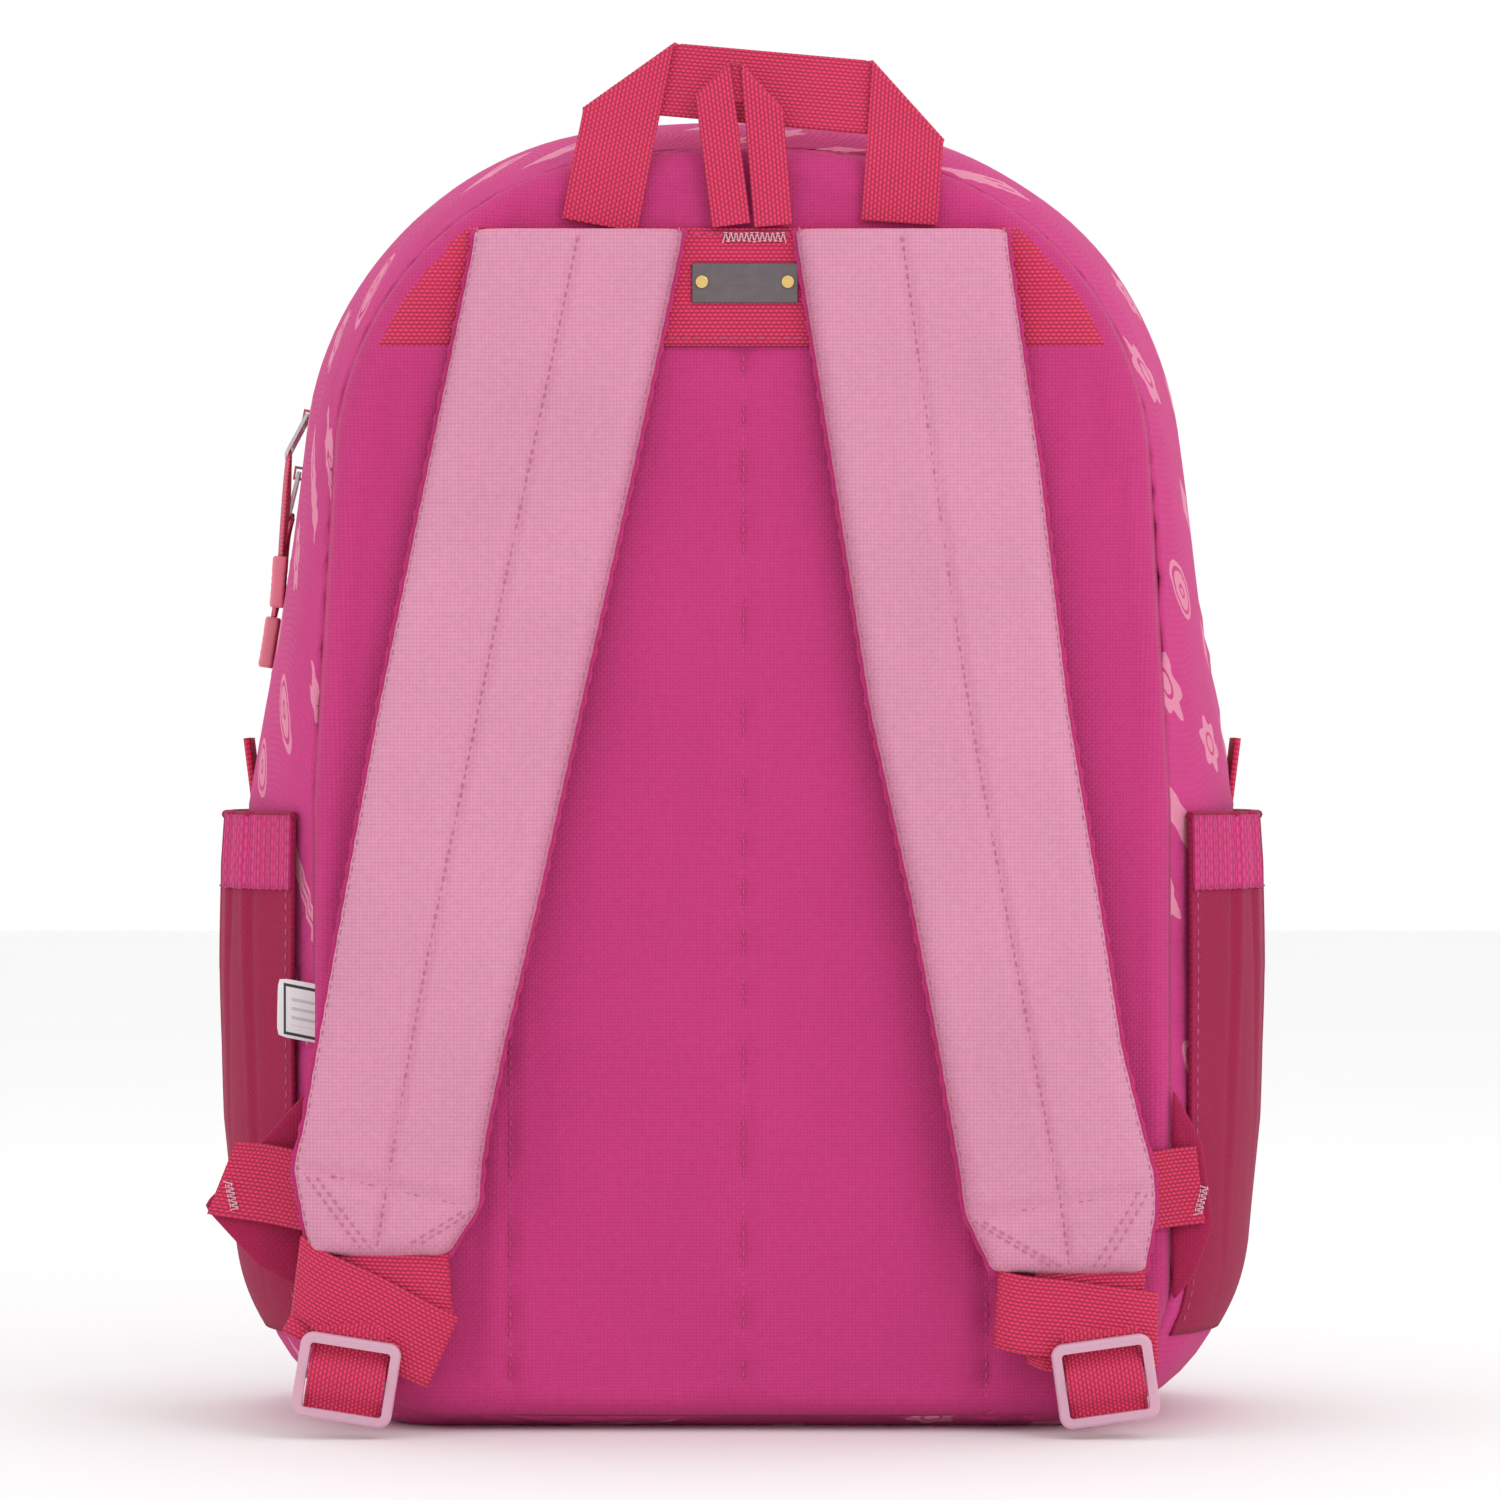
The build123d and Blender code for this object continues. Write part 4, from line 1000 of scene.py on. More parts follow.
def strapShape(side, rows):
    table = np.array(straps[side]["rows"]) * mm
    z = np.linspace(table[0, 0], table[-1, 0], rows)
    return z, np.interp(z, table[::-1, 0], table[::-1, 1]), np.interp(z, table[::-1, 0], table[::-1, 2])


def distanceTo(x, z, line):  # from each place to an open line in mm
    line = np.array(line) * mm
    best = np.full(x.shape, 1e9)
    for a, b in zip(line, line[1:]):
        way = b - a
        t = np.clip(((x - a[0]) * way[0] + (z - a[1]) * way[1]) / (way @ way), 0, 1)
        best = np.minimum(best, np.hypot(x - a[0] - t * way[0], z - a[1] - t * way[1]))
    return best


def strapPad(side):
    z, low, high = strapShape(side, pad["rows"])
    z[1] = z[0] - 0.5 * mm
    u = np.linspace(0, 1, pad["columns"])
    u = 0.5 - 0.5 * (0.55 * np.cos(u * pi) + 0.45 * (1 - 2 * u))
    x = low[:, None] + (high - low)[:, None] * u[None]
    zz = np.repeat(z[:, None], pad["columns"], axis=1)
    edge = np.minimum(x - low[:, None], high[:, None] - x)
    ends = np.minimum((zz - z[-1]) * 0.9 + 0.1 * mm, (z[0] - zz) * 2 + 2.6 * mm)
    t = np.clip(np.minimum(edge, ends) / (9 * mm), 0, 1)
    rise = np.clip(1 - (1 - t) ** 2.6, 0, 1) ** 0.5
    seamMiddle = np.exp(-((distanceTo(x, zz, straps[side]["centre"]) / (1.5 * mm)) ** 2))
    cross = np.exp(-((distanceTo(x, zz, straps[side]["cross"]) / (2.0 * mm)) ** 2))
    pulled = np.maximum(seamMiddle * 0.8, cross) * (0.85 + 0.15 * np.sin(zz * 2 * pi / (7 * mm)))
    spread = np.stack([x, 0 * x, zz], axis=-1)
    loft = pad["high"] * rise * (1 - pad["groove"] * pulled)
    loft = loft * (1 + ripple(spread, straps[side]["seed"], 8, 0.05, 0.035))
    loft += rise * ripple(spread, 31, 8, 0.018, 0.16 * mm)
    wave = zz * 2 * pi / pad["scallopPitch"]
    scallop = pad["scallop"] * np.sin(wave) * (np.abs(u * 2 - 1) ** 8)[None]
    back = strapBack(zz)
    front = np.stack([x + scallop * np.sign(u - 0.5)[None], back - 0.7 * mm - loft, zz], axis=-1)
    rear = np.stack([x, back + 0 * x, zz], axis=-1)[:, ::-1]
    ring = np.concatenate([front, rear], axis=1).transpose(1, 0, 2)
    uvs = np.stack([ring[..., 0], ring[..., 2]], axis=-1)
    uvs = np.concatenate([uvs, uvs[:1]])
    piece = capped(grid(f"{side}StrapPad", ring, uvs, paint["strap"], closed=True))
    pinned = np.zeros(ring.shape[:2], bool)
    columns = pad["columns"]
    pinned[columns:] = True
    pinned[[0, columns - 1]] = True
    pinned[:columns, :2] = pinned[:columns, -2:] = True
    pinned[:columns] |= (seamMiddle.T > 0.4) | (cross.T > 0.5)
    inflate(piece, np.nonzero(pinned.ravel())[0], pad["pressure"], pad["cap"])
    modify(piece, "SUBSURF", levels=1, render_levels=1)
    outward(settle(piece))
    wears(piece, f"{side}_strap", "strap_fabric", f"{side}_strap_cover", f"{side}_strap_foam")
    # The darker underside shows past the stitched edge.
    grow = pad["underside"]
    under = np.stack([x + (u * 2 - 1)[None] * grow, back + 0.3 * mm + 0 * x, zz], axis=-1)
    under[-1, :, 2] -= grow
    under[..., 0] += 0.4 * mm * np.sin(wave + 1) * (np.abs(u * 2 - 1) ** 6 * np.sign(u - 0.5))[None]
    uvs = np.stack([x, zz], axis=-1)
    lining = thick(grid(f"{side}StrapLining", under, uvs, paint["panel"], reverse=True), 0.9 * mm, 0.0)
    wears(lining, f"{side}_strap", "panel_fabric", f"{side}_strap_lining")
    return front, zz, low, high


def onPad(front, zz, place, inset):  # the y of a place on the pad's face
    x, z = place
    row = int(np.clip(np.argmin(np.abs(zz[:, 0] - z)), 0, len(zz) - 1))
    return np.interp(x, front[row, :, 0], front[row, :, 1]) - inset


for side, plan in straps.items():
    front, zz, low, high = strapPad(side)
    middle = curveThrough([(x * mm, 0, z * mm) for x, z in plan["centre"]], 90)
    ends = np.array(plan["cross"]) * mm
    runs = [[(p[0], p[2]) for p in middle[1:]], [tuple(p) for p in np.linspace(*ends, 26)]]
    for edge, sign in ((low, 1), (high, -1)):
        runs.append([(e + sign * 0.9 * mm, z) for e, z in zip(edge[1:-2], zz[1:-2, 0])])
    meet = np.array(plan["meet"]) * mm
    for corner, sign in zip(ends, (1, -1)):
        for shift in (0.0, 3.2 * mm):
            start = corner + np.array([sign * (2 * mm + shift), -1.5 * mm])
            end = meet + np.array([-sign * (9 * mm - shift), 3 * mm])
            runs.append([tuple(start + (end - start) * t) for t in np.linspace(0, 1, 12)])
    lines = [([(x, onPad(front, zz, (x, z), 0.25 * mm), z) for x, z in run], (0, -1, 0)) for run in runs]
    stitched = beads(f"{side}StrapStitches", lines, paint["strapThread"], 3.0 * mm, 2.0 * mm, 0.6 * mm,
                     0.5 * mm, seed=7)
    wears(stitched, f"{side}_strap", "strap_fabric")
print("straps made")


# Folded webbing and adjusters under the straps.
bundles = {  # each layer: points with the slant of its width, then how wide it is
    "left": [
        ([(-116, -95.0, 41, 76), (-138.6, -95.0, 51.4, 83), (-140.8, -96.1, 51.8, 83),
          (-139.0, -97.3, 50.4, 83), (-117.9, -97.9, 39.2, 75), (-97.2, -97.3, 28.2, 66),
          (-95.0, -96.2, 27.2, 66), (-97.0, -95.1, 28.6, 66), (-108, -94.9, 38, 66)], 25),
        ([(-130, -95.6, 50, 88), (-112, -95.9, 49.4, 88), (-95.5, -95.2, 48.6, 94), (-92.9, -94.0, 48.2, 95),
          (-95.5, -93.2, 48.6, 94), (-112, -93.2, 50, 90)], 25),
        ([(-138, -95.0, 42.5, 62), (-141.0, -95.8, 42.0, 62), (-138, -96.5, 40.5, 60), (-122, -96.4, 31, 58),
          (-108.4, -95.9, 24.0, 56)], 19),
        ([(-121.6, -96.0, 50, 171), (-123.2, -97.0, 40, 171), (-124.4, -99.6, 32.6, 171)], 24.6),
    ],
    "right": [
        ([(112, -95.0, 37, 86), (83.2, -95.0, 40.6, 86), (81.0, -96.1, 41.0, 86), (83.0, -97.3, 40.4, 87),
          (105.5, -97.9, 37.3, 88), (129.0, -97.3, 34.0, 90), (131.4, -96.2, 33.6, 90),
          (129.0, -95.2, 34.2, 90), (115, -94.9, 36, 88)], 25),
        ([(92, -95.4, 42, 84), (110, -95.7, 45, 82), (124.6, -95.3, 45.6, 84), (127.0, -94.2, 45.6, 84),
          (124.6, -93.3, 45.4, 84), (110, -93.2, 44, 84)], 21),
        ([(92, -95.0, 34, 106), (88.6, -95.8, 33.0, 106), (91, -96.5, 31.6, 106), (103, -96.4, 30, 102),
          (122, -95.9, 27.0, 98)], 20),
        ([(111.6, -96.0, 46, 8), (112.4, -97.0, 38, 8), (113.4, -99.6, 32.0, 8)], 24.6),
    ],
}


def layeredStrip(name, knots, wide):
    knots = np.array(knots, float)
    run = curveThrough(knots[:, :3] * mm, len(knots) * 10)
    slants = np.radians(np.interp(np.linspace(0, 1, len(run)), np.linspace(0, 1, len(knots)), knots[:, 3]))
    ways = np.stack([np.cos(slants), np.zeros(len(run)), np.sin(slants)], axis=-1)
    return strip(name, run, ways, wide * mm, 1.3 * mm, paint["webbing"])


adjusters = {  # turn in degrees and centre in mm, then the tail's run: how far down and how far back
    "left": (-9, (-125, 0, 19)), "right": (8, (115, 0, 18.5)), "back": -101.364 * mm,
    "tail": [(-14.5, 1.3), (-11.5, 1.2), (-8.0, 0.4), (-4.0, -3.1), (0.0, -4.4), (4.0, -3.2), (8.0, -0.6),
             (11.0, -0.2), (13.2, -0.4)],
}


def finishNode(name, finish):  # a CAD piece that shows as it is, in its own material
    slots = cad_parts[name].data.materials
    slots.clear()
    slots.append(paint[finish])


for side, plan in bundles.items():
    layers = [layeredStrip(f"{side}Layer{i}", knots, wide) for i, (knots, wide) in enumerate(plan)]
    bundle = joined(f"{side}StrapWebbing", layers)
    wears(bundle, f"{side}_strap", "webbing", f"{side}_strap_webbing")
    finishNode(f"{side}_adjuster", "adjuster")
    turn, centre = adjusters[side]
    turn, centre = radians(turn), np.array(centre) * mm
    acrossWay, downWay = np.array([cos(turn), 0, sin(turn)]), np.array([sin(turn), 0, -cos(turn)])
    run = [centre + downWay * d * mm + np.array([0, adjusters["back"] + off * mm, 0])
           for d, off in adjusters["tail"]]
    tail = strip(f"{side}AdjusterTail", curveThrough(run, 50), acrossWay, 24.4 * mm, 1.2 * mm,
                 paint["webbing"])
    wears(tail, f"{side}_adjuster", "webbing", f"{side}_adjuster_tail")
print("bundles and adjusters made")


# Corner tabs and anchor webbing.
corners = {  # in mm: the tab's corners, the webbing's run with its width at each knot, and the tack
    "left": {
        "flap": [(-140.0, -72.6, 108.0), (-153.2, -73.2, 93.6), (-161.0, -73.8, 84.0), (-172.6, -73.8, 72.2),
                 (-155.0, -73.4, 53.0), (-141.0, -72.8, 45.0)],
        "web": [(-166.4, -76.2, 81.2), (-152.0, -77.4, 79.4), (-138.0, -83.0, 77.0), (-121.0, -90.0, 74.5)],
        "lean": (0.40, 0.10, 0.08, 0.08), "tack": (-163.0, -77.8, 75.5),
    },
    "right": {
        "flap": [(138.0, -72.6, 110.0), (147.6, -73.4, 92.0), (149.6, -73.8, 76.0), (151.0, -73.6, 66.0),
                 (145.0, -73.2, 50.0), (138.0, -72.8, 41.0)],
        "web": [(146.6, -76.2, 79.0), (140.0, -77.4, 78.4), (128.0, -83.0, 77.0), (108.0, -90.0, 74.5)],
        "lean": (-0.12, -0.06, -0.05, -0.05), "tack": (147.0, -77.4, 74.0),
    },
}
for side, plan in corners.items():
    sign = -1 if side == "left" else 1
    tab = flap(f"{side}CornerTab", np.array(plan["flap"]) * mm, 2.6 * mm, paint["tab"], rounding=0.4)
    wears(tab, "bag", "panel_fabric", f"{side}_corner_tab")
    run = curveThrough(np.array(plan["web"]) * mm, 50)
    leans = np.interp(np.linspace(0, 3, 50), range(4), plan["lean"])
    ways = np.stack([leans, 0 * leans, 1 + 0 * leans], axis=-1)
    anchor = strip(f"{side}AnchorWebbing", run, ways, 25 * mm, 1.3 * mm, paint["webbing"])
    start, end = plan["web"][1], plan["web"][3]
    [c * mm for c in start]
    [c * mm for c in end]
    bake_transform(anchor)
    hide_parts(f"{side}_anchor_webbing")
    tack(f"{side}AnchorTack", np.array(plan["tack"]) * mm, 9 * mm, 2.4 * mm, 12,
         along=(0.25 * sign, 0, 1), up=(1, 0, 0))
print("corner tabs made")


# Side pockets.
sidePocket = {  # plan is x, y in mm, fill is how far it stands out by height, pleats are across the width
    "plan": [(142, -66), (164, -36), (171, 16), (163, 54), (145, 70)],
    "z": (30 * mm, 197 * mm), "hem": 172 * mm, "wall": 1.3 * mm,
    "fill": [(30, 0.1), (42, 0.32), (56, 0.52), (97, 0.88), (147, 1.0), (180, 0.94), (197, 0.82)],
    "pleats": [(0.16, 2.6, 1.0), (0.30, 2.2, 0.75), (0.47, 2.8, 0.9), (0.63, 2.0, 0.6), (0.8, 2.4, 0.8)],
}


def halfAt(y, z):  # how far the bag's own side is from the middle
    half, inset, base, corner = sectionAt(y)
    if z < base + corner:
        return half - corner + sqrt(max(0.0, corner**2 - (base + corner - z) ** 2))
    return half


def pocketPoint(u, z, plan):
    spots = np.linspace(0, 1, len(plan))
    x, y = np.interp(u, spots, plan[:, 0]), np.interp(u, spots, plan[:, 1])
    table = np.array(sidePocket["fill"])
    share = np.interp(z / mm, table[:, 0], table[:, 1])
    swell = max(0.0, x - halfAt(y, 0.15)) * share
    high = (z - sidePocket["z"][0]) / (sidePocket["z"][1] - sidePocket["z"][0])
    edge = sin(pi * u) ** 0.5
    for place, deep, reach in sidePocket["pleats"]:
        off = (u - place - 0.012 * sin(high * 5 + place * 20)) / 0.016
        fade = np.clip(1 - (1 - high) / reach, 0, 1)
        crease = 0.6 * deep * np.exp(-(off - 1.6) ** 2) - deep * np.exp(-(off**2))
        swell += crease * mm * fade * edge * 0.8
    # It stands further off where the bag's own ripples could reach it.
    proud = max(0.0, 1 - min(u, 1 - u) / 0.25, 1 - share / 0.5)
    return halfAt(y, z) + (0.5 + 1.7 * proud) * mm + max(swell, 0.1 * mm), y


for side, sign in (("left", -1), ("right", 1)):
    plan = curveThrough(np.array(sidePocket["plan"]) * mm, 50)
    us = np.linspace(0, 1, 120)
    zs = np.linspace(*sidePocket["z"], 64)
    points = np.empty((len(us), len(zs), 3))
    for i, u in enumerate(us):
        for j, z in enumerate(zs):
            x, y = pocketPoint(u, z, plan)
            points[i, j] = (sign * x, y, z)
    spread = around(points[:, 30])[: len(us)]
    uvs = np.stack(np.meshgrid(spread, zs, indexing="ij"), axis=-1)
    hem = int(np.argmin(np.abs(zs - sidePocket["hem"])))
    split = int(np.argmin(np.abs(points[:, 0, 1] + 24 * mm)))
    pocket = grid(f"{side}SidePocket", points, uvs, paint["pocket"], reverse=sign < 0)
    thick(pocket, sidePocket["wall"], 0.0)
    wears(pocket, "bag", "shell_fabric", f"{side}_side_pocket")
    # Ribbed elastic along the mouth near the back seam, then the rolled hem.
    off = np.array([sign * 1.0 * mm, -0.4 * mm, 0])
    ribs = points[:split, hem:] + off
    ribs = ribs + np.array([sign * 1.0, 0, 0]) * (0.35 * mm * np.sin(np.arange(split) * 2.2))[:, None, None]
    elastic = thick(grid(f"{side}PocketElastic", ribs, uvs[:split, hem:], paint["elastic"], reverse=sign < 0),
                    1.2 * mm, 0.0)
    wears(elastic, "bag", "elastic", f"{side}_pocket_elastic")
    roll = tube(f"{side}PocketHem", points[:, -1] + np.array([0, 0, -0.3 * mm]), 1.5 * mm, paint["pocket"],
                sides=8)
    wears(roll, "bag", "shell_fabric")
    lines = [(points[2:-2, hem] + np.array([sign * 0.8 * mm, 0, 0]), (sign, 0, 0))]
    for column, back in ((3, -1), (-4, 1)):
        off = np.array([sign * 0.4, back * 0.7, 0]) * mm
        lines.append((points[column, 2:-2] + off, (sign, back * 0.6, 0)))
    wears(beads(f"{side}PocketStitches", lines, paint["thread"], seed=4), "bag", "shell_fabric")
    run = [(sign * (161.6 * mm + 3 * mm * t), 20 * mm, 198 * mm + 24 * mm * t) for t in np.linspace(0, 1, 12)]
    zipEnd = strip(f"{side}ZipTab", run, (0, 1, 0), 24.5 * mm, 2.2 * mm, paint["webbing"])
    wears(zipEnd, "bag", "webbing", f"{side}_zip_tab")
print("side pockets made")


# Label, plate and other small parts.
def labelCloth():  # a thin dark frame and two pale rows, worked out from the label's middle
    shade = Shade("wovenLabel", Specular_IOR_Level=0.25)
    place = shade.places("Object")
    x, _, z = shade.parts(place)
    across = (x + 0.1405) / 0.0075
    along = (z - 0.134 + (x + 0.1405) * 0.2) / 0.0098
    edge = across.math("ABSOLUTE").math("MAXIMUM", along.math("ABSOLUTE"))
    frameLine = (edge > 0.74) * (edge < 0.84)
    inside = (across.math("ABSOLUTE") < 0.5) * (along.math("ABSOLUTE") < 0.5)
    rows = ((along * 3.4).math("FRACT") < 0.36) * inside
    thread = weave(x, z, 0.0005)
    # The weave's gaps are painted darker: painted shade between threads.
    base = shade.mix(thread, (0.62, 0.60, 0.61), (0.86, 0.85, 0.86))
    shade.bump(thread, 0.4, 0.0001)
    dark = shade.mix(frameLine, base, (0.06, 0.05, 0.06))
    return shade.finish(shade.mix(rows * 0.5, dark, (0.35, 0.33, 0.34)), thread * 0.1 + 0.7)


paint["label"] = labelCloth()
label = flap("wovenLabel", np.array([(-149.0, -72.2, 126.4), (-132.6, -72.2, 123.4), (-131.8, -72.2, 142.2),
                                     (-148.6, -72.6, 145.2)]) * mm, 0.8 * mm, paint["label"], rounding=0.3)
wears(label, "bag", "label", "woven_label")

painted = {
    "name_plate": "plate", "plate_rivets": "brass", "bottom_board": "board",
    "lower_slider": "slider", "upper_slider": "slider", "pocket_slider": "slider",
    "lower_pull_tab": "pullMetal", "upper_pull_tab": "pullMetal", "pocket_pull_tab": "pullMetal",
}
for name, finish in painted.items():
    finishNode(name, finish)


# Front pocket.
frontPocket = {
    "half": 112 * mm, "low": 16 * mm, "high": 188 * mm, "back": 82.4 * mm, "face": 112.4 * mm,
    "corner": 26 * mm, "zipZ": 160 * mm, "zipHalf": 95 * mm, "round": 13 * mm,
}


def pocketRun(inward):  # the pocket's rounded outline, moved in from its edge
    half, low, high = frontPocket["half"] - inward, frontPocket["low"] + inward, frontPocket["high"] - inward
    corner = min(max(frontPocket["corner"] - inward * 0.6, 5 * mm), (high - low) / 2)
    run = []
    spots = [(half - corner, low + corner, -90), (half - corner, high - corner, 0),
             (corner - half, high - corner, 90), (corner - half, low + corner, 180)]
    for (cx, cz, start), (nx, nz, _) in zip(spots, spots[1:] + spots[:1]):
        angles = np.radians(np.linspace(start, start + 90, 14))
        run.extend((cx + corner * cos(a), cz + corner * sin(a)) for a in angles)
        end = np.array(run[-1])
        a = radians(start + 90)
        into = np.array([nx + corner * cos(a), nz + corner * sin(a)])
        run.extend(tuple(end + (into - end) * t) for t in np.linspace(0, 1, 26)[1:-1])
    return np.array(run)


def makeFrontPocket():
    high = frontPocket["face"] - frontPocket["back"]
    steps = [(0, 0.0), (0, 0.12), (0.2 * mm, 0.28), (0.4 * mm, 0.42), (0.6 * mm, 0.55)]
    for a in np.linspace(0, 90, 9)[1:]:
        a = radians(a)
        steps.append((0.6 * mm + frontPocket["round"] * (1 - cos(a)), 0.55 + 0.45 * sin(a)))
    for inward in np.linspace(16, 84, 18):
        steps.append((inward * mm, 1.0))
    rings = [pocketRun(inward) for inward, _ in steps]
    points = np.array([[(x, frontPocket["back"] + high * rise, z) for x, z in ring]
                       for ring, (_, rise) in zip(rings, steps)]).transpose(1, 0, 2)
    middle = points[:, -1:].copy()
    middle[..., 2] = (frontPocket["low"] + frontPocket["high"]) / 2
    points = np.concatenate([points, middle], axis=1)
    swell = ripple(points, 41, 9, 0.06, 0.7 * mm)
    calm = np.exp(-((points[..., 2] - frontPocket["zipZ"]) / (16 * mm)) ** 2)
    face = np.clip((points[..., 1] - frontPocket["back"]) / high, 0, 1)
    points[..., 1] += swell * face * (1 - 0.85 * calm) - 0.4 * mm * face
    uvs = np.stack([points[..., 0], points[..., 2] + points[..., 1] * 0.5], axis=-1)
    uvs = np.concatenate([uvs, uvs[:1]])
    shellPiece = grid("frontPocket", points, uvs, paint["pocket"], closed=True)
    welded(shellPiece)
    thick(shellPiece, 1.2 * mm)
    wears(shellPiece, "bag", "panel_fabric", "front_pocket")
    edge = np.insert(pocketRun(4.0 * mm), 1, frontPocket["face"] - 3.4 * mm, axis=1)
    wears(tube("frontPocketPiping", edge, 1.7 * mm, paint["tab"], closed=True), "bag", "panel_fabric")
    foot = np.insert(pocketRun(0.0), 1, frontPocket["back"] + 1.4 * mm, axis=1)
    wears(tube("frontPocketSeam", foot, 1.3 * mm, paint["pocket"], closed=True), "bag", "panel_fabric")
    y = frontPocket["face"] + 0.3 * mm
    xs = np.linspace(-frontPocket["zipHalf"], frontPocket["zipHalf"], 60)
    tape = strip("pocketZipTape", [(x, y, frontPocket["zipZ"]) for x in xs], (0, 0, 1), 23 * mm, 0.9 * mm,
                 paint["tape"])
    wears(tape, "bag", "zip_tape", "pocket_zip_tape")

    def beside(shift, rise):  # a line along both sides of the zip
        heights = (frontPocket["zipZ"] - shift, frontPocket["zipZ"] + shift)
        return [([(x, y + rise, z) for x in xs[1:-1]], (0, 1, 0)) for z in heights]

    coil = beads("pocketZipCoil", beside(1.5 * mm, 0.4 * mm), paint["coil"], zipper["pitch"],
                 zipper["toothLong"], zipper["toothWide"], 1.8 * mm, wander=0.0)
    wears(coil, "bag", "zip_coil", "pocket_zip_coil")
    lines = beside(8.5 * mm, 0.55 * mm)
    for inset, sunk in ((7.5 * mm, 1.0 * mm), (10.0 * mm, 0.2 * mm)):
        ring = pocketRun(inset)
        ring = np.vstack([ring, ring[:1]])
        lines.append((np.insert(ring, 1, frontPocket["face"] - sunk, axis=1), (0, 1, 0)))
    wears(beads("frontPocketStitches", lines, paint["thread"], seed=9), "bag", "panel_fabric")


makeFrontPocket()
print("front pocket made")


# The soft end of each zip pull: a doubled ribbon through the tab's slot, and a moulded grip.
pulls = {
    "ribbon": 3.3 * mm, "wall": 1.1 * mm, "apart": 1.5 * mm, "bow": 1.0 * mm,
    "gripLong": 17 * mm, "gripWide": 9 * mm, "gripDeep": 5 * mm,
    "loop": [(-1.9, -2.2), (-1.9, 0.2), (-1.1, 1.0), (1.1, 1.0), (1.9, 0.2), (1.9, -2.2)],
    "paths": {
        "lower": [(-150.3, 20, 295.4), (-151.6, 20, 291.6), (-153.9, 20, 277.9), (-156.4, 20, 262.3)],
        "upper": [(-150.9, 14.6, 316.6), (-151.3, 12.4, 311.6), (-151.8, 9.8, 303.0), (-153.3, 9.7, 282.3)],
        "pocket": [(-87, 117.1, 145.0), (-87, 117.0, 141.0), (-87, 116.7, 127.0), (-87, 116.7, 111.0)],
    },
    "wides": {"lower": (0, 1, 0), "upper": (0, 1, 0), "pocket": (1, 0, 0)},
}


def moulded(name, top, down, wide, material):  # a rounded bar with shallow finger ribs
    down, wide = np.array(down, float), np.array(wide, float)
    deep = np.cross(down, wide)
    turns = np.linspace(0, 2 * pi, 33)
    side = [np.sign(part) * np.abs(part) ** 0.45 for part in (np.cos(turns), np.sin(turns))]
    rings = []
    for t in np.concatenate([np.linspace(0, 0.08, 6), np.linspace(0.1, 0.9, 33), np.linspace(0.92, 1, 6)]):
        near = min(t, 1 - t) / 0.08
        shrink = 1 if near >= 1 else 1 - 0.22 * (1 - sqrt(1 - (1 - near) ** 2))
        rib = 1 - 0.05 * (0.5 - 0.5 * cos(t * 14 * pi)) * (0.3 < t < 0.87)
        size = pulls["gripWide"] / 2 * shrink, pulls["gripDeep"] / 2 * shrink * rib
        rings.append(top + down * t * pulls["gripLong"]
                     + wide * (side[0] * size[0])[:, None] + deep * (side[1] * size[1])[:, None])
    points = np.array(rings)
    along = np.linspace(0, pulls["gripLong"], len(rings))
    uvs = np.stack(np.meshgrid(along, turns * 4 * mm, indexing="ij"), axis=-1)
    return outward(capped(welded(grid(name, points, uvs, material))))


for which, plan in pulls["paths"].items():
    run = curveThrough(np.array(plan) * mm, 40)
    wide = np.array(pulls["wides"][which], float)
    down = (run[-1] - run[-4]) / np.linalg.norm(run[-1] - run[-4])
    bow = np.sin(np.linspace(0, pi, len(run)))[:, None] * np.cross(down, wide) * pulls["bow"]
    strands = []
    for sign in (-1, 1):
        off = wide * sign * pulls["apart"] * np.linspace(0.6, 1, len(run))[:, None] ** 2
        lean = wide + np.cross(down, wide) * 0.35 * sign
        strands.append(strip(f"{which}Ribbon{sign}", run + off + bow * (0.35 + 0.5 * sign), lean,
                             pulls["ribbon"], pulls["wall"], paint["cord"]))
    through = [run[0] + (wide * w - down * d) * mm for w, d in pulls["loop"]]
    strands.append(tube(f"{which}PullLoop", through, 0.7 * mm, paint["cord"]))
    cord = joined(f"{which}PullCord", strands)
    wears(cord, f"{which}_pull", "pull_cord", f"{which}_pull_cord")
    end = moulded(f"{which}PullGrip", run[-1], down, wide, paint["grip"])
    wears(end, f"{which}_pull", "pull_grip", f"{which}_pull_grip")
print("pulls made:", len(pulls["paths"]))


# Inside.
def insideHeight(x, z, gap):
    return np.clip(gap / (4 * mm), 0, 1) + ripple(np.stack([x, 0 * x, z], axis=-1), 61, 7, 0.08, 0.15)


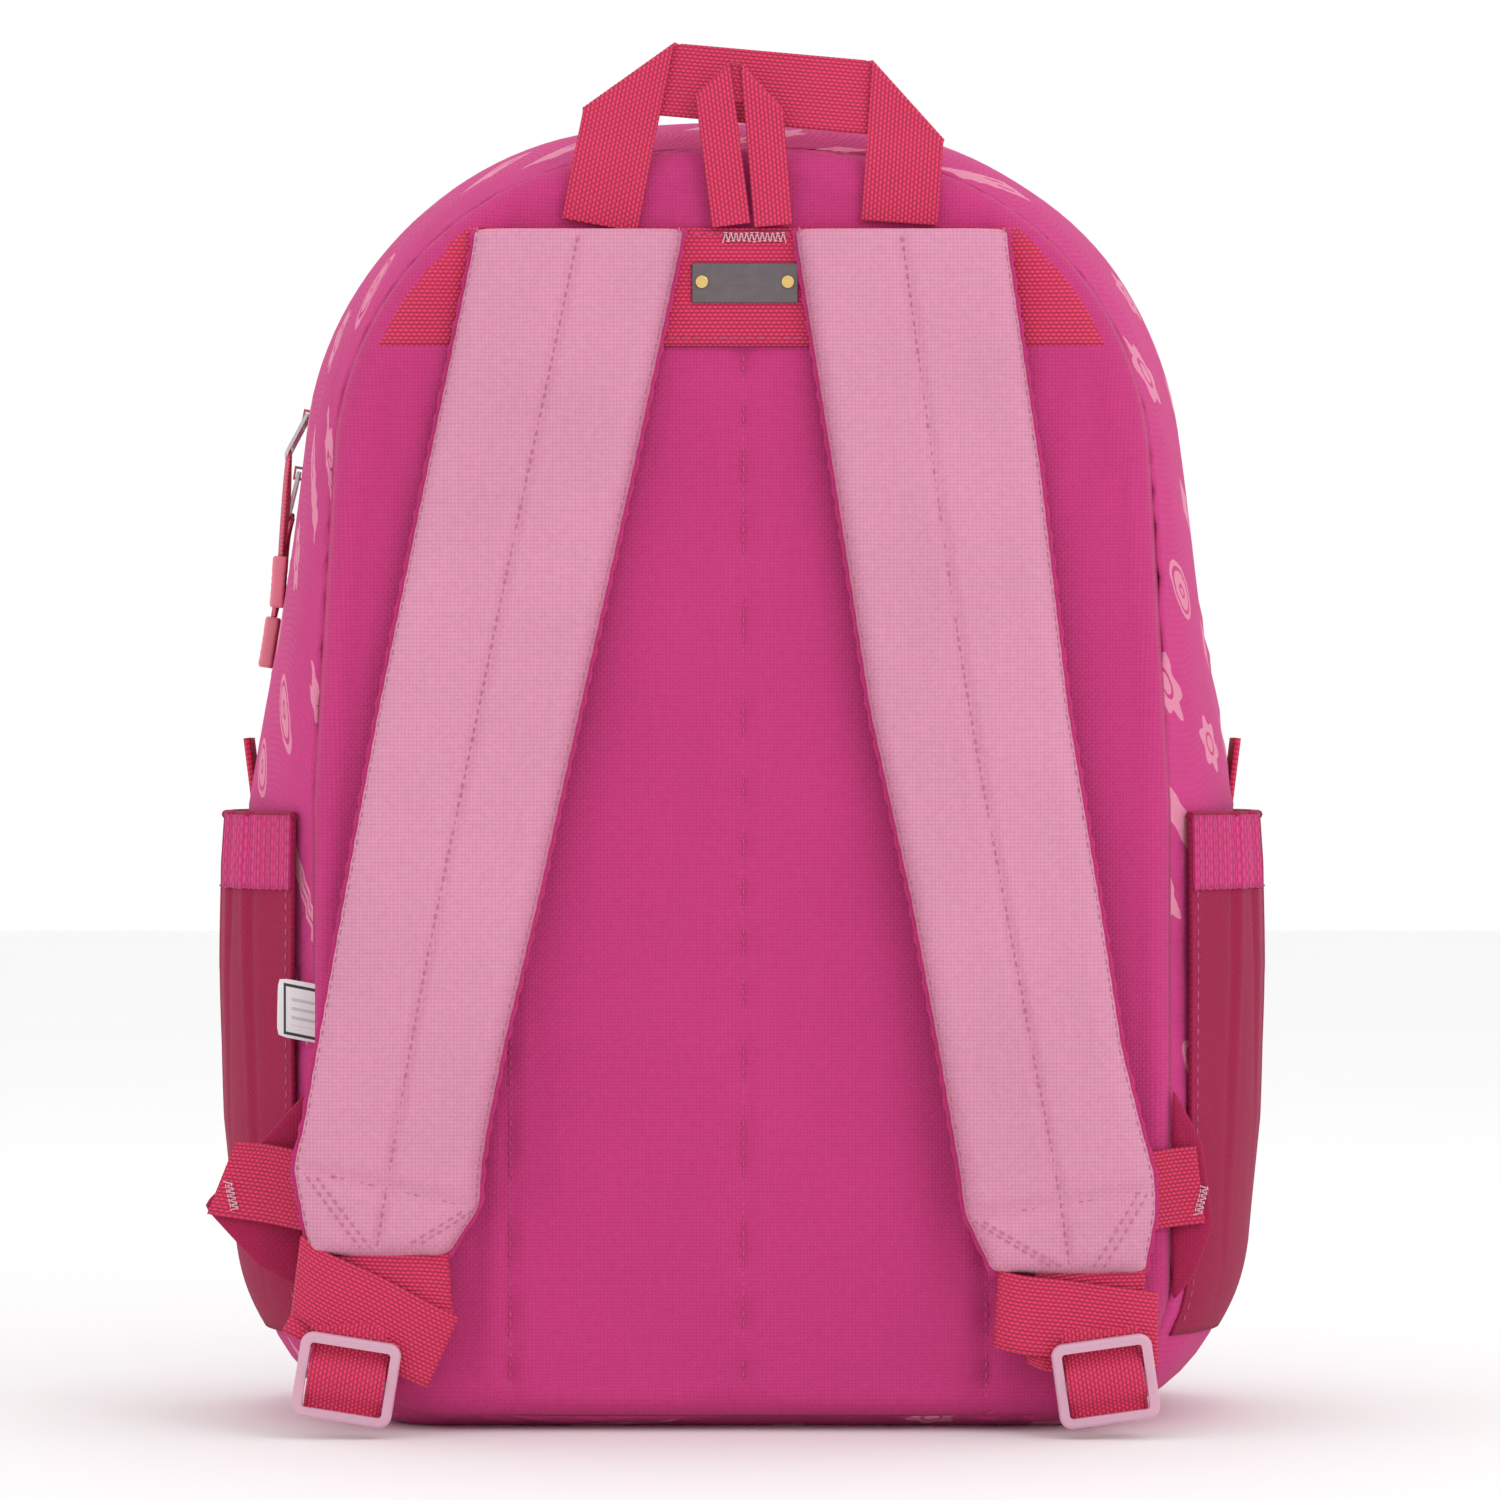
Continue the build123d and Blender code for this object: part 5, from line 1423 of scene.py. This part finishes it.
liningPiece, _ = panelMesh("backLining", -69.3 * mm, -68.9 * mm, 40, 60, insideHeight, paint["lining"])
for vertex in liningPiece.data.vertices:  # a little smaller than the back, so that it stays inside
    vertex.co.x *= 0.982
    vertex.co.z = 9 * mm + (vertex.co.z - 6 * mm) * 0.985
thick(liningPiece, 0.6 * mm)
wears(liningPiece, "bag", "lining", "back_lining")
sleeveCorners = [(-111, 249), (-111, 30), (-100, 14), (100, 14), (111, 30), (111, 249)]
sleeve = flap("innerSleeve", np.array([(x, -66.4, z) for x, z in sleeveCorners]) * mm, 3.2 * mm,
              paint["lining"], rings=9, step=4 * mm)
wears(sleeve, "bag", "lining", "inner_sleeve")
binding = strip("sleeveBinding", [(x * mm, -66.6 * mm, 255.5 * mm) for x in np.linspace(-111.5, 111.5, 50)],
                (0, 0, 1), 12 * mm, 4.0 * mm, paint["webbing"])
wears(binding, "bag", "webbing", "sleeve_binding")
print("inside made")


# Camera, floor and light.
studio = {
    "camera": (2.6 * mm, -2.275, 218 * mm), "lens": 165,
    "world": 1.0, "key": 7, "fill": 1.5, "top": 3,
}


def lamp(name, place, aim, size, power):
    data = bpy.data.lights.new(name, "AREA")
    data.shape, data.size, data.energy = "DISK", size, power
    made = bpy.data.objects.new(name, data)
    made.location = place
    made.rotation_euler = (Vector(aim) - Vector(place)).to_track_quat("-Z", "Y").to_euler()
    bpy.context.collection.objects.link(made)


def makeStudio():
    data = bpy.data.cameras.new("camera")
    data.lens, data.sensor_width = studio["lens"], 36
    camera = bpy.data.objects.new("camera", data)
    camera.location = studio["camera"]
    camera.rotation_euler = (pi / 2, 0, 0)
    bpy.context.collection.objects.link(camera)
    bpy.context.scene.camera = camera
    floor = mesh("studioFloor", [(-6, -6, 0), (6, -6, 0), (6, 6, 0), (-6, 6, 0)], [(0, 1, 2, 3)])
    shade = Shade("floorPaper", Specular_IOR_Level=0.1)
    soft = shade.noise(shade.places("Object"), 3, 2)
    floor.data.materials.append(shade.finish(shade.mix(soft, (0.93, 0.93, 0.93), (0.95, 0.95, 0.95)), 0.9))
    world = bpy.data.worlds.new("studioWorld")
    world.use_nodes = True
    world.node_tree.nodes["Background"].inputs[0].default_value = (1, 1, 1, 1)
    world.node_tree.nodes["Background"].inputs[1].default_value = studio["world"]
    bpy.context.scene.world = world
    lamp("keyLight", (1.1, -1.7, 1.3), (0, 0, 0.25), 0.9, studio["key"])
    lamp("fillLight", (-1.5, -1.5, 0.7), (0, 0, 0.2), 1.2, studio["fill"])
    lamp("topLight", (0, 0.5, 1.9), (0, 0, 0.3), 1.2, studio["top"])
    bpy.context.scene.view_settings.view_transform = "Standard"


makeStudio()
